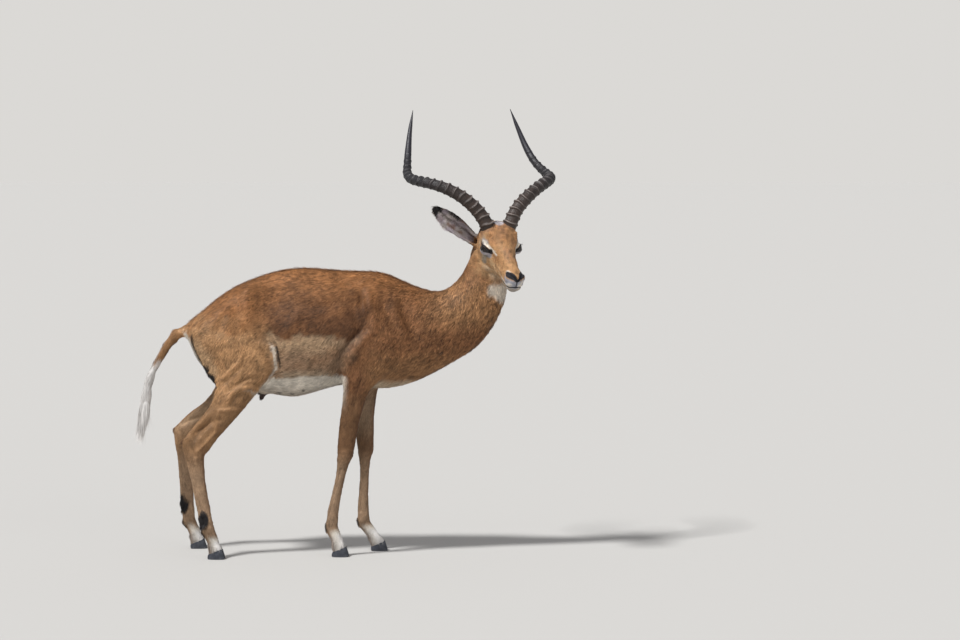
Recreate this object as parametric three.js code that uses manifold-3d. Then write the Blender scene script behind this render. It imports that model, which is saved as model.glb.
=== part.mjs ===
// Impala antelope: an adult male at life size, as a still museum model.
// It stands with an arched back, the hind legs flexed and the tail raised, and turns its face to its right.
// Millimetres. +X runs towards the head end, +Y to the animal's left and +Z up.
// The origin is on the floor, below the middle of the model's box.
import * as THREE from "three";
import { mergeVertices } from "three/addons/utils/BufferGeometryUtils.js";
import Module from "manifold-3d";

const wasm = await Module();
wasm.setup();

// ---------------------------------------------------------------- driving dimensions

const GAP = 0.3; // clear space kept between neighbouring pieces
const RIGHT = -1; // side factors for Y
const LEFT = 1;

// Facets round a section.
const BODY_SIDES = 20;
const HEAD_SIDES = 18;
const LEG_SIDES = 12;
const HORN_SIDES = 8;
const TAIL_SIDES = 10;
const HOOF_SIDES = 8;

// Head: the point midway between the eyes, and how far the face is turned, dipped and tilted.
const HEAD_PLACE = new THREE.Vector3(517, -85, 925);
const FACE_TURN = 70.5; // degrees to the animal's right of straight ahead
const FACE_DIP = 33.6; // degrees below level
const FACE_TILT = 0.5; // degrees, left eye higher
const EYE_RADIUS = 17;
const EYE_PLACE = new THREE.Vector3(-3, 47, -1); // in head axes, for the left eye

// Feet: where each one stands, which way its toes turn, and the height and slope of the hoof's upper edge.
const FEET = {
  foreleg_right: { x: 33, y: -62, turn: -3 },
  foreleg_left: { x: 146, y: 72, turn: 4 },
  hindleg_right: { x: -335, y: -115, turn: -6 },
  hindleg_left: { x: -406, y: 125, turn: 6 },
};
const CORONET_HEIGHT = 22;
const CORONET_SLOPE = 0.42;

// ---------------------------------------------------------------- shape tools

const V = (x, y, z) => new THREE.Vector3(x, y, z);
const radians = THREE.MathUtils.degToRad;
const signedPower = (v, e) => Math.sign(v) * Math.abs(v) ** e;

/** A closed three.js geometry as a manifold solid. */
function solidOf(geometry) {
  const bare = geometry.clone();
  bare.deleteAttribute("normal");
  bare.deleteAttribute("uv");
  const merged = mergeVertices(bare, 1e-3);
  return new wasm.Manifold(
    new wasm.Mesh({
      numProp: 3,
      vertProperties: merged.attributes.position.array,
      triVerts: new Uint32Array(merged.index.array),
    }),
  );
}

/** A manifold solid as a flat-shaded three.js geometry. */
function geometryOf(solid) {
  const mesh = solid.getMesh();
  const places = new Float32Array(mesh.numVert * 3);
  for (let i = 0; i < mesh.numVert; i++)
    places.set(mesh.vertProperties.subarray(i * mesh.numProp, i * mesh.numProp + 3), i * 3);
  const geometry = new THREE.BufferGeometry()
    .setAttribute("position", new THREE.BufferAttribute(places, 3))
    .setIndex(new THREE.BufferAttribute(mesh.triVerts, 1))
    .toNonIndexed();
  geometry.computeVertexNormals();
  return geometry;
}

/** Rows of numbers along a smooth curve through the given rows, with `steps` steps in each span. */
function smoothRows(rows, steps, placeOf) {
  const spans = rows.slice(1).map((row, i) => Math.max(placeOf(row).distanceTo(placeOf(rows[i])), 1));
  const slope = rows.map((row, i) =>
    row.map((_, k) => {
      if (i === 0) return (rows[1][k] - row[k]) / spans[0];
      if (i === rows.length - 1) return (row[k] - rows[i - 1][k]) / spans[i - 1];
      const before = (row[k] - rows[i - 1][k]) / spans[i - 1];
      const after = (rows[i + 1][k] - row[k]) / spans[i];
      return (before * spans[i] + after * spans[i - 1]) / (spans[i - 1] + spans[i]);
    }),
  );
  const made = [];
  for (let i = 0; i < spans.length; i++)
    for (let s = 0; s < steps; s++) {
      const t = s / steps;
      const [h00, h10] = [2 * t ** 3 - 3 * t ** 2 + 1, t ** 3 - 2 * t ** 2 + t];
      const [h01, h11] = [3 * t ** 2 - 2 * t ** 3, t ** 3 - t ** 2];
      made.push(
        rows[i].map(
          (v, k) =>
            h00 * v + h10 * spans[i] * slope[i][k] + h01 * rows[i + 1][k] + h11 * spans[i] * slope[i + 1][k],
        ),
      );
    }
  made.push(rows.at(-1));
  return made;
}

/** A closed skin over rings of equally many points, with a fan at each end. */
function skinOver(rings) {
  const sides = rings[0].length;
  const middle = (ring) => ring.reduce((sum, p) => sum.add(p), V(0, 0, 0)).divideScalar(sides);
  const points = [...rings.flat(), middle(rings[0]), middle(rings.at(-1))];
  const [firstCap, lastCap] = [points.length - 2, points.length - 1];
  const faces = [];
  for (let k = 0; k < sides; k++) {
    const next = (k + 1) % sides;
    for (let r = 0; r < rings.length - 1; r++) {
      const [a, b] = [r * sides + k, r * sides + next];
      faces.push(a, b, b + sides, a, b + sides, a + sides);
    }
    const end = (rings.length - 1) * sides;
    faces.push(firstCap, next, k, lastCap, end + k, end + next);
  }
  const geometry = new THREE.BufferGeometry().setFromPoints(points).setIndex(faces);
  const solid = solidOf(geometry);
  if (solid.volume() > 0) return solid;
  for (let i = 0; i < faces.length; i += 3) [faces[i + 1], faces[i + 2]] = [faces[i + 2], faces[i + 1]];
  return solidOf(geometry.setIndex(faces));
}

/**
 * A rung is one section: it runs from one edge to the other in the side view and has a half width across.
 * `wide` is how far along it the width is greatest, and the two powers make either end pointed (under 2),
 * elliptical (2) or square (over 2).
 */
const rung = (x1, z1, x2, z2, half, { y = 0, y2 = y, wide = 0.5, p1 = 2, p2 = 2 } = {}) => [
  x1, y, z1, x2, y2, z2, half, wide, p1, p2,
];
const rungMiddle = ([x1, y1, z1, x2, y2, z2]) => V((x1 + x2) / 2, (y1 + y2) / 2, (z1 + z2) / 2);

/** The solid through a list of rungs, grown outwards by `grow`. */
function loft(rungs, sides, steps, grow = 0) {
  const rings = smoothRows(rungs, steps, rungMiddle).map((row) => {
    const [from, to] = [V(row[0], row[1], row[2]), V(row[3], row[4], row[5])];
    const [half, wide, p1, p2] = row.slice(6);
    const along = to.clone().sub(from).normalize();
    const across = V(0, 1, 0).addScaledVector(along, -along.y).normalize();
    const centre = from.clone().lerp(to, wide);
    const reach = [centre.distanceTo(from) + grow, centre.distanceTo(to) + grow];
    return Array.from({ length: sides }, (_, k) => {
      const angle = (2 * Math.PI * (k + 0.5)) / sides;
      const [c, s] = [Math.cos(angle), Math.sin(angle)];
      const power = 2 / (s < 0 ? p1 : p2);
      return centre
        .clone()
        .addScaledVector(across, (half + grow) * signedPower(c, power))
        .addScaledVector(along, (s < 0 ? reach[0] : reach[1]) * signedPower(s, power));
    });
  });
  return skinOver(rings);
}

/** An ellipsoid with its own centre and three radii. */
function ellipsoid(centre, radii, grow = 0, detail = 16) {
  const ball = new THREE.SphereGeometry(1, detail, detail / 2);
  ball.scale(radii.x + grow, radii.y + grow, radii.z + grow);
  ball.translate(centre.x, centre.y, centre.z);
  return solidOf(ball);
}

// ---------------------------------------------------------------- trunk and neck

// From the tail root to the neck base: the back and belly lines, the half width, and the section's shape.
const TRUNK = [
  rung(-432, 690, -428, 662, 22),
  rung(-414, 709, -415, 628, 46),
  rung(-380, 735, -396, 585, 72, { wide: 0.45 }),
  rung(-335, 774, -352, 540, 88, { wide: 0.42, p1: 1.9 }),
  rung(-285, 807, -300, 510, 97, { wide: 0.4, p1: 2.0 }),
  rung(-230, 832, -235, 494, 98, { wide: 0.42, p1: 2.0 }),
  rung(-160, 857, -165, 481, 99, { wide: 0.55, p1: 1.8, p2: 2.1 }),
  rung(-90, 868, -100, 474, 110, { wide: 0.6, p1: 1.75, p2: 2.15 }),
  rung(-15, 864, -25, 494, 114, { wide: 0.58, p1: 1.75, p2: 2.15 }),
  rung(55, 859, 50, 512, 108, { wide: 0.56, p1: 1.7, p2: 2.0 }),
  rung(120, 856, 130, 499, 99, { wide: 0.55, p1: 1.6, p2: 1.9 }),
  rung(178, 843, 196, 501, 92, { wide: 0.55, p1: 1.6, p2: 1.8 }),
  rung(240, 821, 262, 520, 83, { wide: 0.54, p1: 1.7, p2: 1.8 }),
];

// From the neck base to the poll; the top sections turn with the head.
const NECK = [
  rung(298, 800, 322, 549, 74, { wide: 0.52, p1: 1.75, p2: 1.9 }),
  rung(338, 797, 382, 586, 66, { wide: 0.5, p1: 1.8 }),
  rung(367, 812, 429, 614, 60, { wide: 0.5, p1: 1.8 }),
  rung(392, 838, 473, 658, 57, { wide: 0.5, p1: 1.9, y2: -4 }),
  rung(409, 866, 504, 708, 56, { wide: 0.5, y: 6, y2: -12 }),
  rung(424, 896, 525, 760, 56, { wide: 0.48, y: 14, y2: -22 }),
  rung(436, 928, 535, 812, 57, { wide: 0.48, y: 22, y2: -26 }),
  rung(447, 958, 534, 862, 52, { wide: 0.5, y: 26, y2: -18 }),
  rung(462, 978, 520, 905, 38, { wide: 0.5, y: 22, y2: -8 }),
];

// ---------------------------------------------------------------- legs

/**
 * A limb segment from joint to joint: each row is how far along the bone it sits, how far the front and rear
 * outlines stand off the bone, and the half width.
 */
function segment(top, bottom, rows, style = {}) {
  const bone = bottom.clone().sub(top);
  const flat = Math.hypot(bone.x, bone.z);
  const ahead = V(-bone.z / flat, 0, bone.x / flat); // square to the bone, towards the head end
  return rows.map(([t, front, rear, half]) => {
    const on = top.clone().addScaledVector(bone, t);
    const [f, r] = [on.clone().addScaledVector(ahead, front), on.clone().addScaledVector(ahead, -rear)];
    return rung(f.x, f.z, r.x, r.z, half, { y: on.y, ...style });
  });
}

// Share along each bone, fore and aft reach from it, and half width.
const FOREARM = [
  [0.12, 41, 39, 28],
  [0.29, 36, 36, 24],
  [0.5, 29, 34, 21],
  [0.7, 28, 31, 19.5],
  [0.87, 27, 28, 20],
];
const KNEE = [[0, 24, 24, 20.5]];
const FORE_CANNON = [
  [0.12, 18, 20, 17],
  [0.24, 15.5, 17, 13.5],
  [0.42, 14.5, 16.5, 12],
  [0.62, 14, 18.5, 12],
  [0.82, 16, 21, 14],
];
const GASKIN = [
  [0.3, 37, 78, 35],
  [0.45, 35, 60, 29],
  [0.6, 34, 53, 24],
  [0.76, 32.5, 52, 20],
  [0.91, 35.5, 50, 18.5],
];
const HIND_CANNON = [
  [0.1, 32, 33, 19.5],
  [0.22, 26, 28, 17],
  [0.38, 21, 26, 14.5],
  [0.56, 20, 25, 13.2],
  [0.7, 20.5, 24, 13],
  [0.84, 20, 22, 14],
];

/** The fetlock, pastern and coronet over a foot; `lean` is how far behind the foot the fetlock sits. */
function footRungs({ x, y }, lean) {
  return [
    rung(x + 20 - lean, 92, x - 20 - lean, 78, 17.5, { y, p2: 1.8 }),
    rung(x + 22 - lean * 0.65, 66, x - 14 - lean * 0.65, 52, 15.5, { y }),
    rung(x + 19 - lean * 0.25, 44, x - 17 - lean * 0.25, 30, 16.5, { y }),
    rung(x + 18, 27, x - 20, 10, 18, { y, p1: 2.2, p2: 2.4 }),
  ];
}

/** The foreleg of one side: shoulder, forearm, knee, cannon and foot. */
function foreleg(side, elbow, knee, fetlock, foot) {
  const swing = elbow.x - 84; // how far forward of plumb the elbow is carried
  return loft(
    [
      rung(150, 806, 100, 798, 14, { y: side * 42 }),
      rung(178, 768, 76, 752, 30, { y: side * 52 }),
      rung(200, 716, 62, 696, 36, { y: side * 62 }),
      rung(222 + swing * 0.3, 655, 52 + swing * 0.3, 640, 39, { y: side * 66 }),
      rung(218 + swing * 0.6, 598, 40 + swing * 0.6, 590, 39, { y: side * 66 }),
      rung(172 + swing, 545, 36 + swing, 548, 36, { y: side * 67 }),
      ...segment(elbow, knee, FOREARM),
      ...segment(knee, fetlock, KNEE),
      ...segment(knee, fetlock, FORE_CANNON),
      ...footRungs(foot, foot.x - fetlock.x),
    ],
    LEG_SIDES,
    1,
  );
}

/** The hind leg of one side: thigh, gaskin, hock, cannon and foot. */
function hindleg(side, stifle, hock, fetlock, foot) {
  const heel = V(hock.x - 16, hock.y, hock.z - 8); // the cannon's line meets the hock behind the joint
  return loft(
    [
      rung(-262, 770, -330, 752, 22, { y: side * 60 }),
      rung(-232, 722, -384, 700, 40, { y: side * 60 }),
      rung(-204, 672, -414, 646, 47, { y: side * 60, p2: 1.8 }),
      rung(-176, 624, -397, 604, 51, { y: side * 62, p2: 1.7 }),
      rung(-158, 582, -376, 566, 50, { y: side * 66, p2: 1.7 }),
      rung(-172, 540, -358, 538, 46, { y: side * 73, p2: 1.8 }),
      rung(-206, 496, -346, 522, 40, { y: side * 78, p2: 1.8 }),
      ...segment(stifle, hock, GASKIN, { p2: 1.7 }),
      rung(hock.x + 30, hock.z - 22, hock.x - 54, hock.z + 14, 19.5, { y: hock.y, p2: 1.7 }),
      ...segment(heel, fetlock, HIND_CANNON),
      ...footRungs(foot, foot.x - fetlock.x),
    ],
    LEG_SIDES,
    1,
  );
}

const LEG_FORMS = {
  foreleg_right: foreleg(RIGHT, V(84, -67, 520), V(48, -64, 302), V(8, -63, 98), FEET.foreleg_right),
  foreleg_left: foreleg(LEFT, V(106, 69, 520), V(106, 70, 302), V(100, 72, 96), FEET.foreleg_left),
  hindleg_right: hindleg(RIGHT, V(-232, -84, 520), V(-386, -104, 340), V(-358, -114, 84), FEET.hindleg_right),
  hindleg_left: hindleg(LEFT, V(-240, 86, 502), V(-428, 112, 355), V(-434, 123, 84), FEET.hindleg_left),
};

// ---------------------------------------------------------------- hooves

/** The two halves of a foot's upper edge plane: everything below it, or everything above it. */
function besideCoronet(solid, { x, y, turn }, upper) {
  const normal = V(-CORONET_SLOPE, 0, 1).normalize().applyAxisAngle(V(0, 0, 1), radians(turn));
  const level = normal.dot(V(x, y, CORONET_HEIGHT));
  return upper
    ? solid.trimByPlane(normal.toArray(), level + GAP / 2)
    : solid.trimByPlane(normal.clone().negate().toArray(), -level + GAP / 2);
}

/** One cloven hoof: two wedges with flat soles, joined at the heels. */
function hoof(foot) {
  const digits = [RIGHT, LEFT].map((side) =>
    loft(
      [
        rung(27, 0, -23, 0, 9.6, { p1: 1.5, p2: 2.4 }),
        rung(23, 13, -24, 8, 10, { p1: 1.6, p2: 2.4 }),
        rung(15, 40, -21, 22, 9.4, { p1: 1.9, p2: 2.3 }),
      ],
      HOOF_SIDES,
      1,
    )
      .rotate([0, 0, side * 3])
      .translate([0, side * 9.5, 0])
      .rotate([0, 0, foot.turn])
      .translate([foot.x, foot.y, 0]),
  );
  return digits[0].add(digits[1]);
}

// ---------------------------------------------------------------- tail

// Upper and lower edges from the root to the tip of the white hair.
const TAIL = [
  rung(-396, 704, -404, 664, 16),
  rung(-432, 697, -434, 654, 16.5),
  rung(-462, 677, -458, 643, 14),
  rung(-492, 641, -473, 628, 11),
  rung(-518, 599, -494, 594, 9.5),
  rung(-540, 558, -513, 558, 10.5),
  rung(-556, 512, -526, 516, 13),
  rung(-566, 462, -533, 468, 14),
  rung(-574, 418, -542, 424, 12.5),
  rung(-583, 380, -556, 388, 9),
  rung(-585, 354, -573, 358, 4),
  rung(-581, 338, -577, 339, 1),
];

// ---------------------------------------------------------------- head

// Head axes: X along the face to the nose, Y to the left eye, Z out of the forehead; the origin is between the
// eyes. Each row runs from the face line to the jaw line.
const SKULL = [
  rung(-116, 8, -110, -24, 20),
  rung(-106, 28, -100, -52, 40, { wide: 0.45 }),
  rung(-84, 43, -76, -72, 50, { wide: 0.45, p1: 2.4 }),
  rung(-58, 51, -50, -84, 55, { wide: 0.46, p1: 3, p2: 2 }),
  rung(-28, 50, -24, -84, 55, { wide: 0.44, p1: 3, p2: 1.9 }),
  rung(4, 43, 2, -78, 49, { wide: 0.42, p1: 2.5, p2: 1.8 }),
  rung(34, 36, 32, -70, 40, { wide: 0.42, p1: 2.2, p2: 1.9 }),
  rung(66, 30, 63, -61, 32, { wide: 0.44, p1: 2, p2: 2 }),
  rung(98, 26, 95, -52, 29, { wide: 0.46, p1: 2.2, p2: 2.1 }),
  rung(128, 22, 125, -49, 27.5, { wide: 0.5, p1: 2.2, p2: 2.2 }),
  rung(149, 18, 146, -49, 27, { wide: 0.52, p1: 2.1, p2: 2.2 }),
  rung(161, 11, 156, -41, 22, { wide: 0.5 }),
  rung(166, 2, 161, -23, 12, { wide: 0.5 }),
];

const HEAD_FRAME = new THREE.Matrix4()
  .makeTranslation(HEAD_PLACE.x, HEAD_PLACE.y, HEAD_PLACE.z)
  .multiply(new THREE.Matrix4().makeRotationZ(-radians(FACE_TURN)))
  .multiply(new THREE.Matrix4().makeRotationY(radians(FACE_DIP)))
  .multiply(new THREE.Matrix4().makeRotationX(radians(FACE_TILT)));

/** A solid made in head axes, in its place on the animal. */
const onHead = (solid) => solid.transform(HEAD_FRAME.elements);
const mirrored = (point, side) => V(point.x, point.y * side, point.z);

/** The skull's form with eye sockets, cheeks and lips, in head axes. */
function headForm(grow = 0) {
  const parts = [loft(SKULL, HEAD_SIDES, 1, grow)];
  for (const side of [RIGHT, LEFT]) {
    parts.push(ellipsoid(V(-14, side * 41, 16), V(32, 20, 27), grow, 12)); // eye socket's rim and brow
    parts.push(ellipsoid(V(-38, side * 34, -42), V(40, 15, 34), grow, 10)); // cheek
    parts.push(ellipsoid(V(136, side * 17, -3), V(22, 14, 19), grow, 10)); // upper lip and nostril
  }
  return parts.reduce((sum, part) => sum.add(part));
}

const eyeball = (side, grow = 0) =>
  ellipsoid(mirrored(EYE_PLACE, side), V(EYE_RADIUS, EYE_RADIUS, EYE_RADIUS), grow, 12);

// ---------------------------------------------------------------- ears

const EAR_LENGTH = 168;
const EAR_THICKNESS = 5.5;
// Share of the length, radius of the cup, and the half angle that the leaf wraps round it.
const EAR_ROWS = [
  [-0.12, 12, 140],
  [0.04, 14, 135],
  [0.18, 17, 115],
  [0.32, 21.5, 94],
  [0.48, 25.5, 80],
  [0.64, 26, 68],
  [0.8, 21.5, 57],
  [0.92, 13.5, 46],
  [1, 4, 40],
];

/** One ear: a leaf rolled into a cup, from its base towards its tip, with the hollow facing `facing`. */
function ear({ base, tip, facing }) {
  const axis = tip.clone().sub(base).normalize();
  const front = facing.clone().addScaledVector(axis, -facing.dot(axis)).normalize();
  const across = axis.clone().cross(front);
  const arc = 7; // points along each face of the leaf
  const rings = EAR_ROWS.map(([share, radius, wrap]) => {
    const heart = base.clone().addScaledVector(axis, share * EAR_LENGTH);
    const at = (r, angle) =>
      heart
        .clone()
        .addScaledVector(across, r * Math.sin(angle))
        .addScaledVector(front, radius * 0.7 - r * Math.cos(angle));
    const angles = Array.from({ length: arc }, (_, k) => radians(wrap) * ((2 * k) / (arc - 1) - 1));
    const half = Math.min(EAR_THICKNESS / 2, radius * 0.45);
    return [
      ...angles.map((angle) => at(radius + half, angle)),
      ...angles.reverse().map((angle) => at(radius - half, angle)),
    ];
  });
  return skinOver(rings);
}

const EARS = {
  ear_right: { base: V(-88, -44, -36), tip: V(-174, -166, 30), facing: V(0.75, -0.35, 0.35) },
  ear_left: { base: V(-90, 44, -34), tip: V(-214, 96, -122), facing: V(-0.2, 0.9, 0.3) },
};

// ---------------------------------------------------------------- horns

// The left horn's line in head axes, from inside the skull, up and out, back, and up again to the tip.
const HORN_LINE = new THREE.CatmullRomCurve3(
  [
    V(-44, 25, 12),
    V(-59, 36, 43),
    V(-94, 62, 74),
    V(-124, 101, 99),
    V(-155, 143, 110),
    V(-188, 180, 106),
    V(-226, 206, 89),
    V(-267, 221, 70),
    V(-313, 218, 57),
    V(-362, 204, 58),
    V(-413, 190, 74),
    V(-467, 175, 104),
    V(-522, 157, 143),
  ],
  false,
  "centripetal",
);
const HORN_RADII = [[0, 23], [0.2, 20.5], [0.4, 17], [0.6, 14], [0.78, 11], [0.92, 6], [1, 0.8]]; // share, radius
const HORN_RINGS = 13;
const RINGED_SHARE = 0.72; // the rest, towards the tip, is smooth

/** A horn's radius at a share of its length: a slow taper with ridges that fade towards the tip. */
function hornRadius(share) {
  const next = Math.max(1, HORN_RADII.findIndex(([s]) => s >= share));
  const [[s0, r0], [s1, r1]] = [HORN_RADII[next - 1], HORN_RADII[next]];
  const ringed = Math.max(0, 1 - share / RINGED_SHARE) ** 0.35;
  const wave = Math.cos((2 * Math.PI * HORN_RINGS * share) / RINGED_SHARE);
  return (r0 + ((r1 - r0) * (share - s0)) / (s1 - s0)) * (1 + 0.06 * ringed * wave);
}

/** One horn as a swept tube in head axes, two steps to each ring. */
function horn(side) {
  const ringed = Array.from({ length: 2 * HORN_RINGS + 1 }, (_, i) => (RINGED_SHARE * i) / (2 * HORN_RINGS));
  const smooth = [0.77, 0.82, 0.87, 0.92, 0.96, 1];
  const shares = [...ringed, ...smooth];
  const up = V(0, 0, 1);
  const rings = shares.map((share) => {
    const tangent = HORN_LINE.getTangentAt(share);
    const out = up.clone().cross(tangent).normalize();
    const over = tangent.clone().cross(out);
    const centre = HORN_LINE.getPointAt(share);
    return Array.from({ length: HORN_SIDES }, (_, k) => {
      const angle = (2 * Math.PI * k) / HORN_SIDES;
      const point = centre
        .clone()
        .addScaledVector(out, hornRadius(share) * Math.cos(angle))
        .addScaledVector(over, hornRadius(share) * Math.sin(angle));
      return mirrored(point, side);
    });
  });
  return skinOver(rings);
}

// ---------------------------------------------------------------- dividing the flesh

/** The largest closed body of a solid; crumbs left by a cut are dropped. */
function largest(solid) {
  const bodies = solid.decompose().sort((a, b) => b.volume() - a.volume());
  const crumbs = bodies.slice(1).reduce((sum, body) => sum + body.volume(), 0);
  if (crumbs > 3000) throw new Error(`a cut left ${crumbs.toFixed(0)} cubic millimetres loose`);
  return bodies[0];
}

// Where the legs are parted from the trunk, in the side view, and how far each side's cut keeps off the middle.
const FORELEG_CUT = [
  [30, 545], [58, 660], [84, 764], [124, 812], [166, 774], [214, 680], [222, 600], [190, 530], [200, 400],
  [260, 100], [260, -20], [-80, -20], [-40, 300], [10, 480],
];
const HINDLEG_CUT = [
  [-162, 520], [-150, 590], [-190, 690], [-262, 775], [-330, 764], [-400, 690], [-436, 652], [-470, 560],
  [-560, 400], [-560, -20], [-240, -20], [-240, 300], [-190, 460],
];
const FORE_MIDDLE = 24;
const HIND_MIDDLE = 18;

/** A cutter from a side-view polygon, on one side of the animal, starting `inner` from the middle. */
function slabOf(outline, side, inner) {
  const shape = new THREE.Shape(outline.map(([x, z]) => new THREE.Vector2(x, z)));
  const slab = new THREE.ExtrudeGeometry(shape, { depth: 260 - inner, bevelEnabled: false });
  slab.rotateX(Math.PI / 2); // the outline's second axis becomes Z and the depth runs to -Y
  slab.translate(0, side > 0 ? 260 : -inner, 0);
  return solidOf(slab);
}

/** A side-view polygon moved outwards by `distance`. */
function offset(outline, distance) {
  const area = outline.reduce((sum, [x, z], i) => {
    const [nx, nz] = outline[(i + 1) % outline.length];
    return sum + x * nz - nx * z;
  }, 0);
  const turn = Math.sign(area) * distance;
  return outline.map(([x, z], i) => {
    const [px, pz] = outline.at(i - 1);
    const [nx, nz] = outline[(i + 1) % outline.length];
    const a = new THREE.Vector2(z - pz, px - x).normalize();
    const b = new THREE.Vector2(nz - z, x - nx).normalize();
    const share = turn / (1 + a.dot(b));
    return [x + (a.x + b.x) * share, z + (a.y + b.y) * share];
  });
}

/** The part of `solid` on the positive side of a plane through a point, kept GAP / 2 off it. */
function beyond(solid, point, normal) {
  const unit = normal.clone().normalize();
  return solid.trimByPlane(unit.toArray(), unit.dot(point) + GAP / 2);
}

const NECK_CUT = { point: V(316, 0, 676), normal: V(1, 0, -0.12) };
const TAIL_CUT = { point: V(-436, 0, 675), normal: V(-1, 0, -0.1) };
const backwards = (cut) => cut.normal.clone().negate();

const pieces = {};
let body = loft([...TRUNK, ...NECK], BODY_SIDES, 2).add(loft(TAIL, TAIL_SIDES, 1));
for (const [name, form] of Object.entries(LEG_FORMS)) {
  pieces[name.replace("leg", "").replace(/^/, "hoof_")] = besideCoronet(hoof(FEET[name]), FEET[name], false);
  body = body.add(besideCoronet(form, FEET[name], true));
}
const scrotum = (grow) => ellipsoid(V(-202, 0, 476), V(13, 14, 17), grow, 10);
body = body.subtract(scrotum(GAP));
pieces.scrotum = scrotum(0);
for (const name of Object.keys(LEG_FORMS)) {
  const side = name.endsWith("left") ? LEFT : RIGHT;
  const [outline, inner] = name.startsWith("fore") ? [FORELEG_CUT, FORE_MIDDLE] : [HINDLEG_CUT, HIND_MIDDLE];
  pieces[name] = largest(body.intersect(slabOf(outline, side, inner)));
  body = body.subtract(slabOf(offset(outline, GAP), side, inner - GAP));
}
const neckAndRest = beyond(body, NECK_CUT.point, NECK_CUT.normal);
const trunkAndTail = beyond(body, NECK_CUT.point, backwards(NECK_CUT));
pieces.tail = largest(beyond(trunkAndTail, TAIL_CUT.point, TAIL_CUT.normal));
pieces.trunk = largest(beyond(trunkAndTail, TAIL_CUT.point, backwards(TAIL_CUT)));

// The head sits in a hollow at the neck's top; the eyes sit in sockets; horns and ears stand on the head.
const seat = onHead(headForm(GAP));
const sockets = [RIGHT, LEFT].map((side) => eyeball(side, GAP));
pieces.neck = largest(neckAndRest.subtract(seat));
pieces.head = onHead(sockets.reduce((form, socket) => form.subtract(socket), headForm()));
for (const side of [RIGHT, LEFT]) {
  const suffix = side === LEFT ? "left" : "right";
  pieces[`eye_${suffix}`] = onHead(eyeball(side));
  pieces[`horn_${suffix}`] = largest(onHead(horn(side)).subtract(seat));
  pieces[`ear_${suffix}`] = largest(
    onHead(ear(EARS[`ear_${suffix}`]))
      .subtract(seat)
      .subtract(loft(NECK, BODY_SIDES, 2, GAP)),
  );
}

// ---------------------------------------------------------------- the model

const FINISH = {
  coat: { color: 0xa9683a, roughness: 0.85, metalness: 0 },
  dark: { color: 0x3a2a22, roughness: 0.8, metalness: 0 },
  horn: { color: 0x4a4038, roughness: 0.6, metalness: 0 },
  hoof: { color: 0x23262b, roughness: 0.5, metalness: 0 },
  eye: { color: 0x0d0a08, roughness: 0.05, metalness: 0 },
};
const finishOf = (name) =>
  name.startsWith("horn") ? FINISH.horn
  : name.startsWith("hoof") ? FINISH.hoof
  : name.startsWith("eye") ? FINISH.eye
  : name === "scrotum" ? FINISH.dark
  : FINISH.coat;

const model = new THREE.Group();
const box = new THREE.Box3();
for (const solid of Object.values(pieces)) {
  const { min, max } = solid.boundingBox();
  box.union(new THREE.Box3(V(...min), V(...max)));
}
const middle = box.getCenter(V(0, 0, 0));
for (const [name, solid] of Object.entries(pieces)) {
  const centred = solid.translate([-middle.x, -middle.y, 0]);
  const mesh = new THREE.Mesh(geometryOf(centred), new THREE.MeshStandardMaterial(finishOf(name)));
  mesh.name = name;
  model.add(mesh);
}

export default model;
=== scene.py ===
"""Impala antelope, an adult male at life size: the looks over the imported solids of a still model.

Places are millimetres in the animal's own axes: X forward, Y to its left, Z up from the floor. place()
turns them into the model's metres. The face is worked in head axes: X along the face to the nose, Y to the
left eye, Z out of the forehead, from the point midway between the eyes.
"""
import math

import bmesh
import bpy
import numpy as np
from mathutils import Matrix, Vector


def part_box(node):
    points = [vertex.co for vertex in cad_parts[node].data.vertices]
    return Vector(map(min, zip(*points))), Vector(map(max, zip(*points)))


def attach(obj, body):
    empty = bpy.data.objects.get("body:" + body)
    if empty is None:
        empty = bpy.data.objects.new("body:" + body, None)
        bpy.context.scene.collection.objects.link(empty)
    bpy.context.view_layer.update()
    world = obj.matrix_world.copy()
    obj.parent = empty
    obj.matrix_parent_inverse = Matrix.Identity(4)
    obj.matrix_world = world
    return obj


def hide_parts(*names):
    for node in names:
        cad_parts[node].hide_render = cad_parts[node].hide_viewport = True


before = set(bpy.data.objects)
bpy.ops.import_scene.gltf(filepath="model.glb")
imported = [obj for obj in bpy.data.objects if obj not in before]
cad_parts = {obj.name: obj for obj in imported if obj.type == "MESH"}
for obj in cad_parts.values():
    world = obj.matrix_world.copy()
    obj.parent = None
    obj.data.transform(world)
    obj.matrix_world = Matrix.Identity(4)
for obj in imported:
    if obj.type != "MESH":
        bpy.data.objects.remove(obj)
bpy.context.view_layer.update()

# ------------------------------------------------------------------ places and small tools

FLESH = (
    "trunk", "neck", "head", "ear_right", "ear_left", "tail", "scrotum",
    "foreleg_right", "foreleg_left", "hindleg_right", "hindleg_left",
)
SCROTUM_PLACE = np.array((-202.0, 0.0, 476.0))
ORIGIN = np.array(sum(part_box("scrotum"), Vector()) / 2) - SCROTUM_PLACE / 1000

HEAD_PLACE = (517, -85, 925)
FACE_TURN = 70.5
FACE_DIP = 33.6
FACE_TILT = 0.5
HEAD_TURN = np.array(
    Matrix.Rotation(-math.radians(FACE_TURN), 3, "Z")
    @ Matrix.Rotation(math.radians(FACE_DIP), 3, "Y")
    @ Matrix.Rotation(math.radians(FACE_TILT), 3, "X")
)


def place(points):
    """Millimetres in the animal's axes to metres in the model's."""
    return ORIGIN + np.asarray(points, float) / 1000


def on_head(points):
    """Millimetres in head axes to millimetres in the animal's."""
    return np.asarray(HEAD_PLACE) + np.asarray(points, float) @ HEAD_TURN.T


def to_head(points):
    """Millimetres in the animal's axes to head axes."""
    return (points - np.asarray(HEAD_PLACE)) @ HEAD_TURN


def unit(vectors):
    """Vectors of length 1 in the same directions."""
    return vectors / np.maximum(np.linalg.norm(vectors, axis=-1, keepdims=True), 1e-9)


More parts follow.
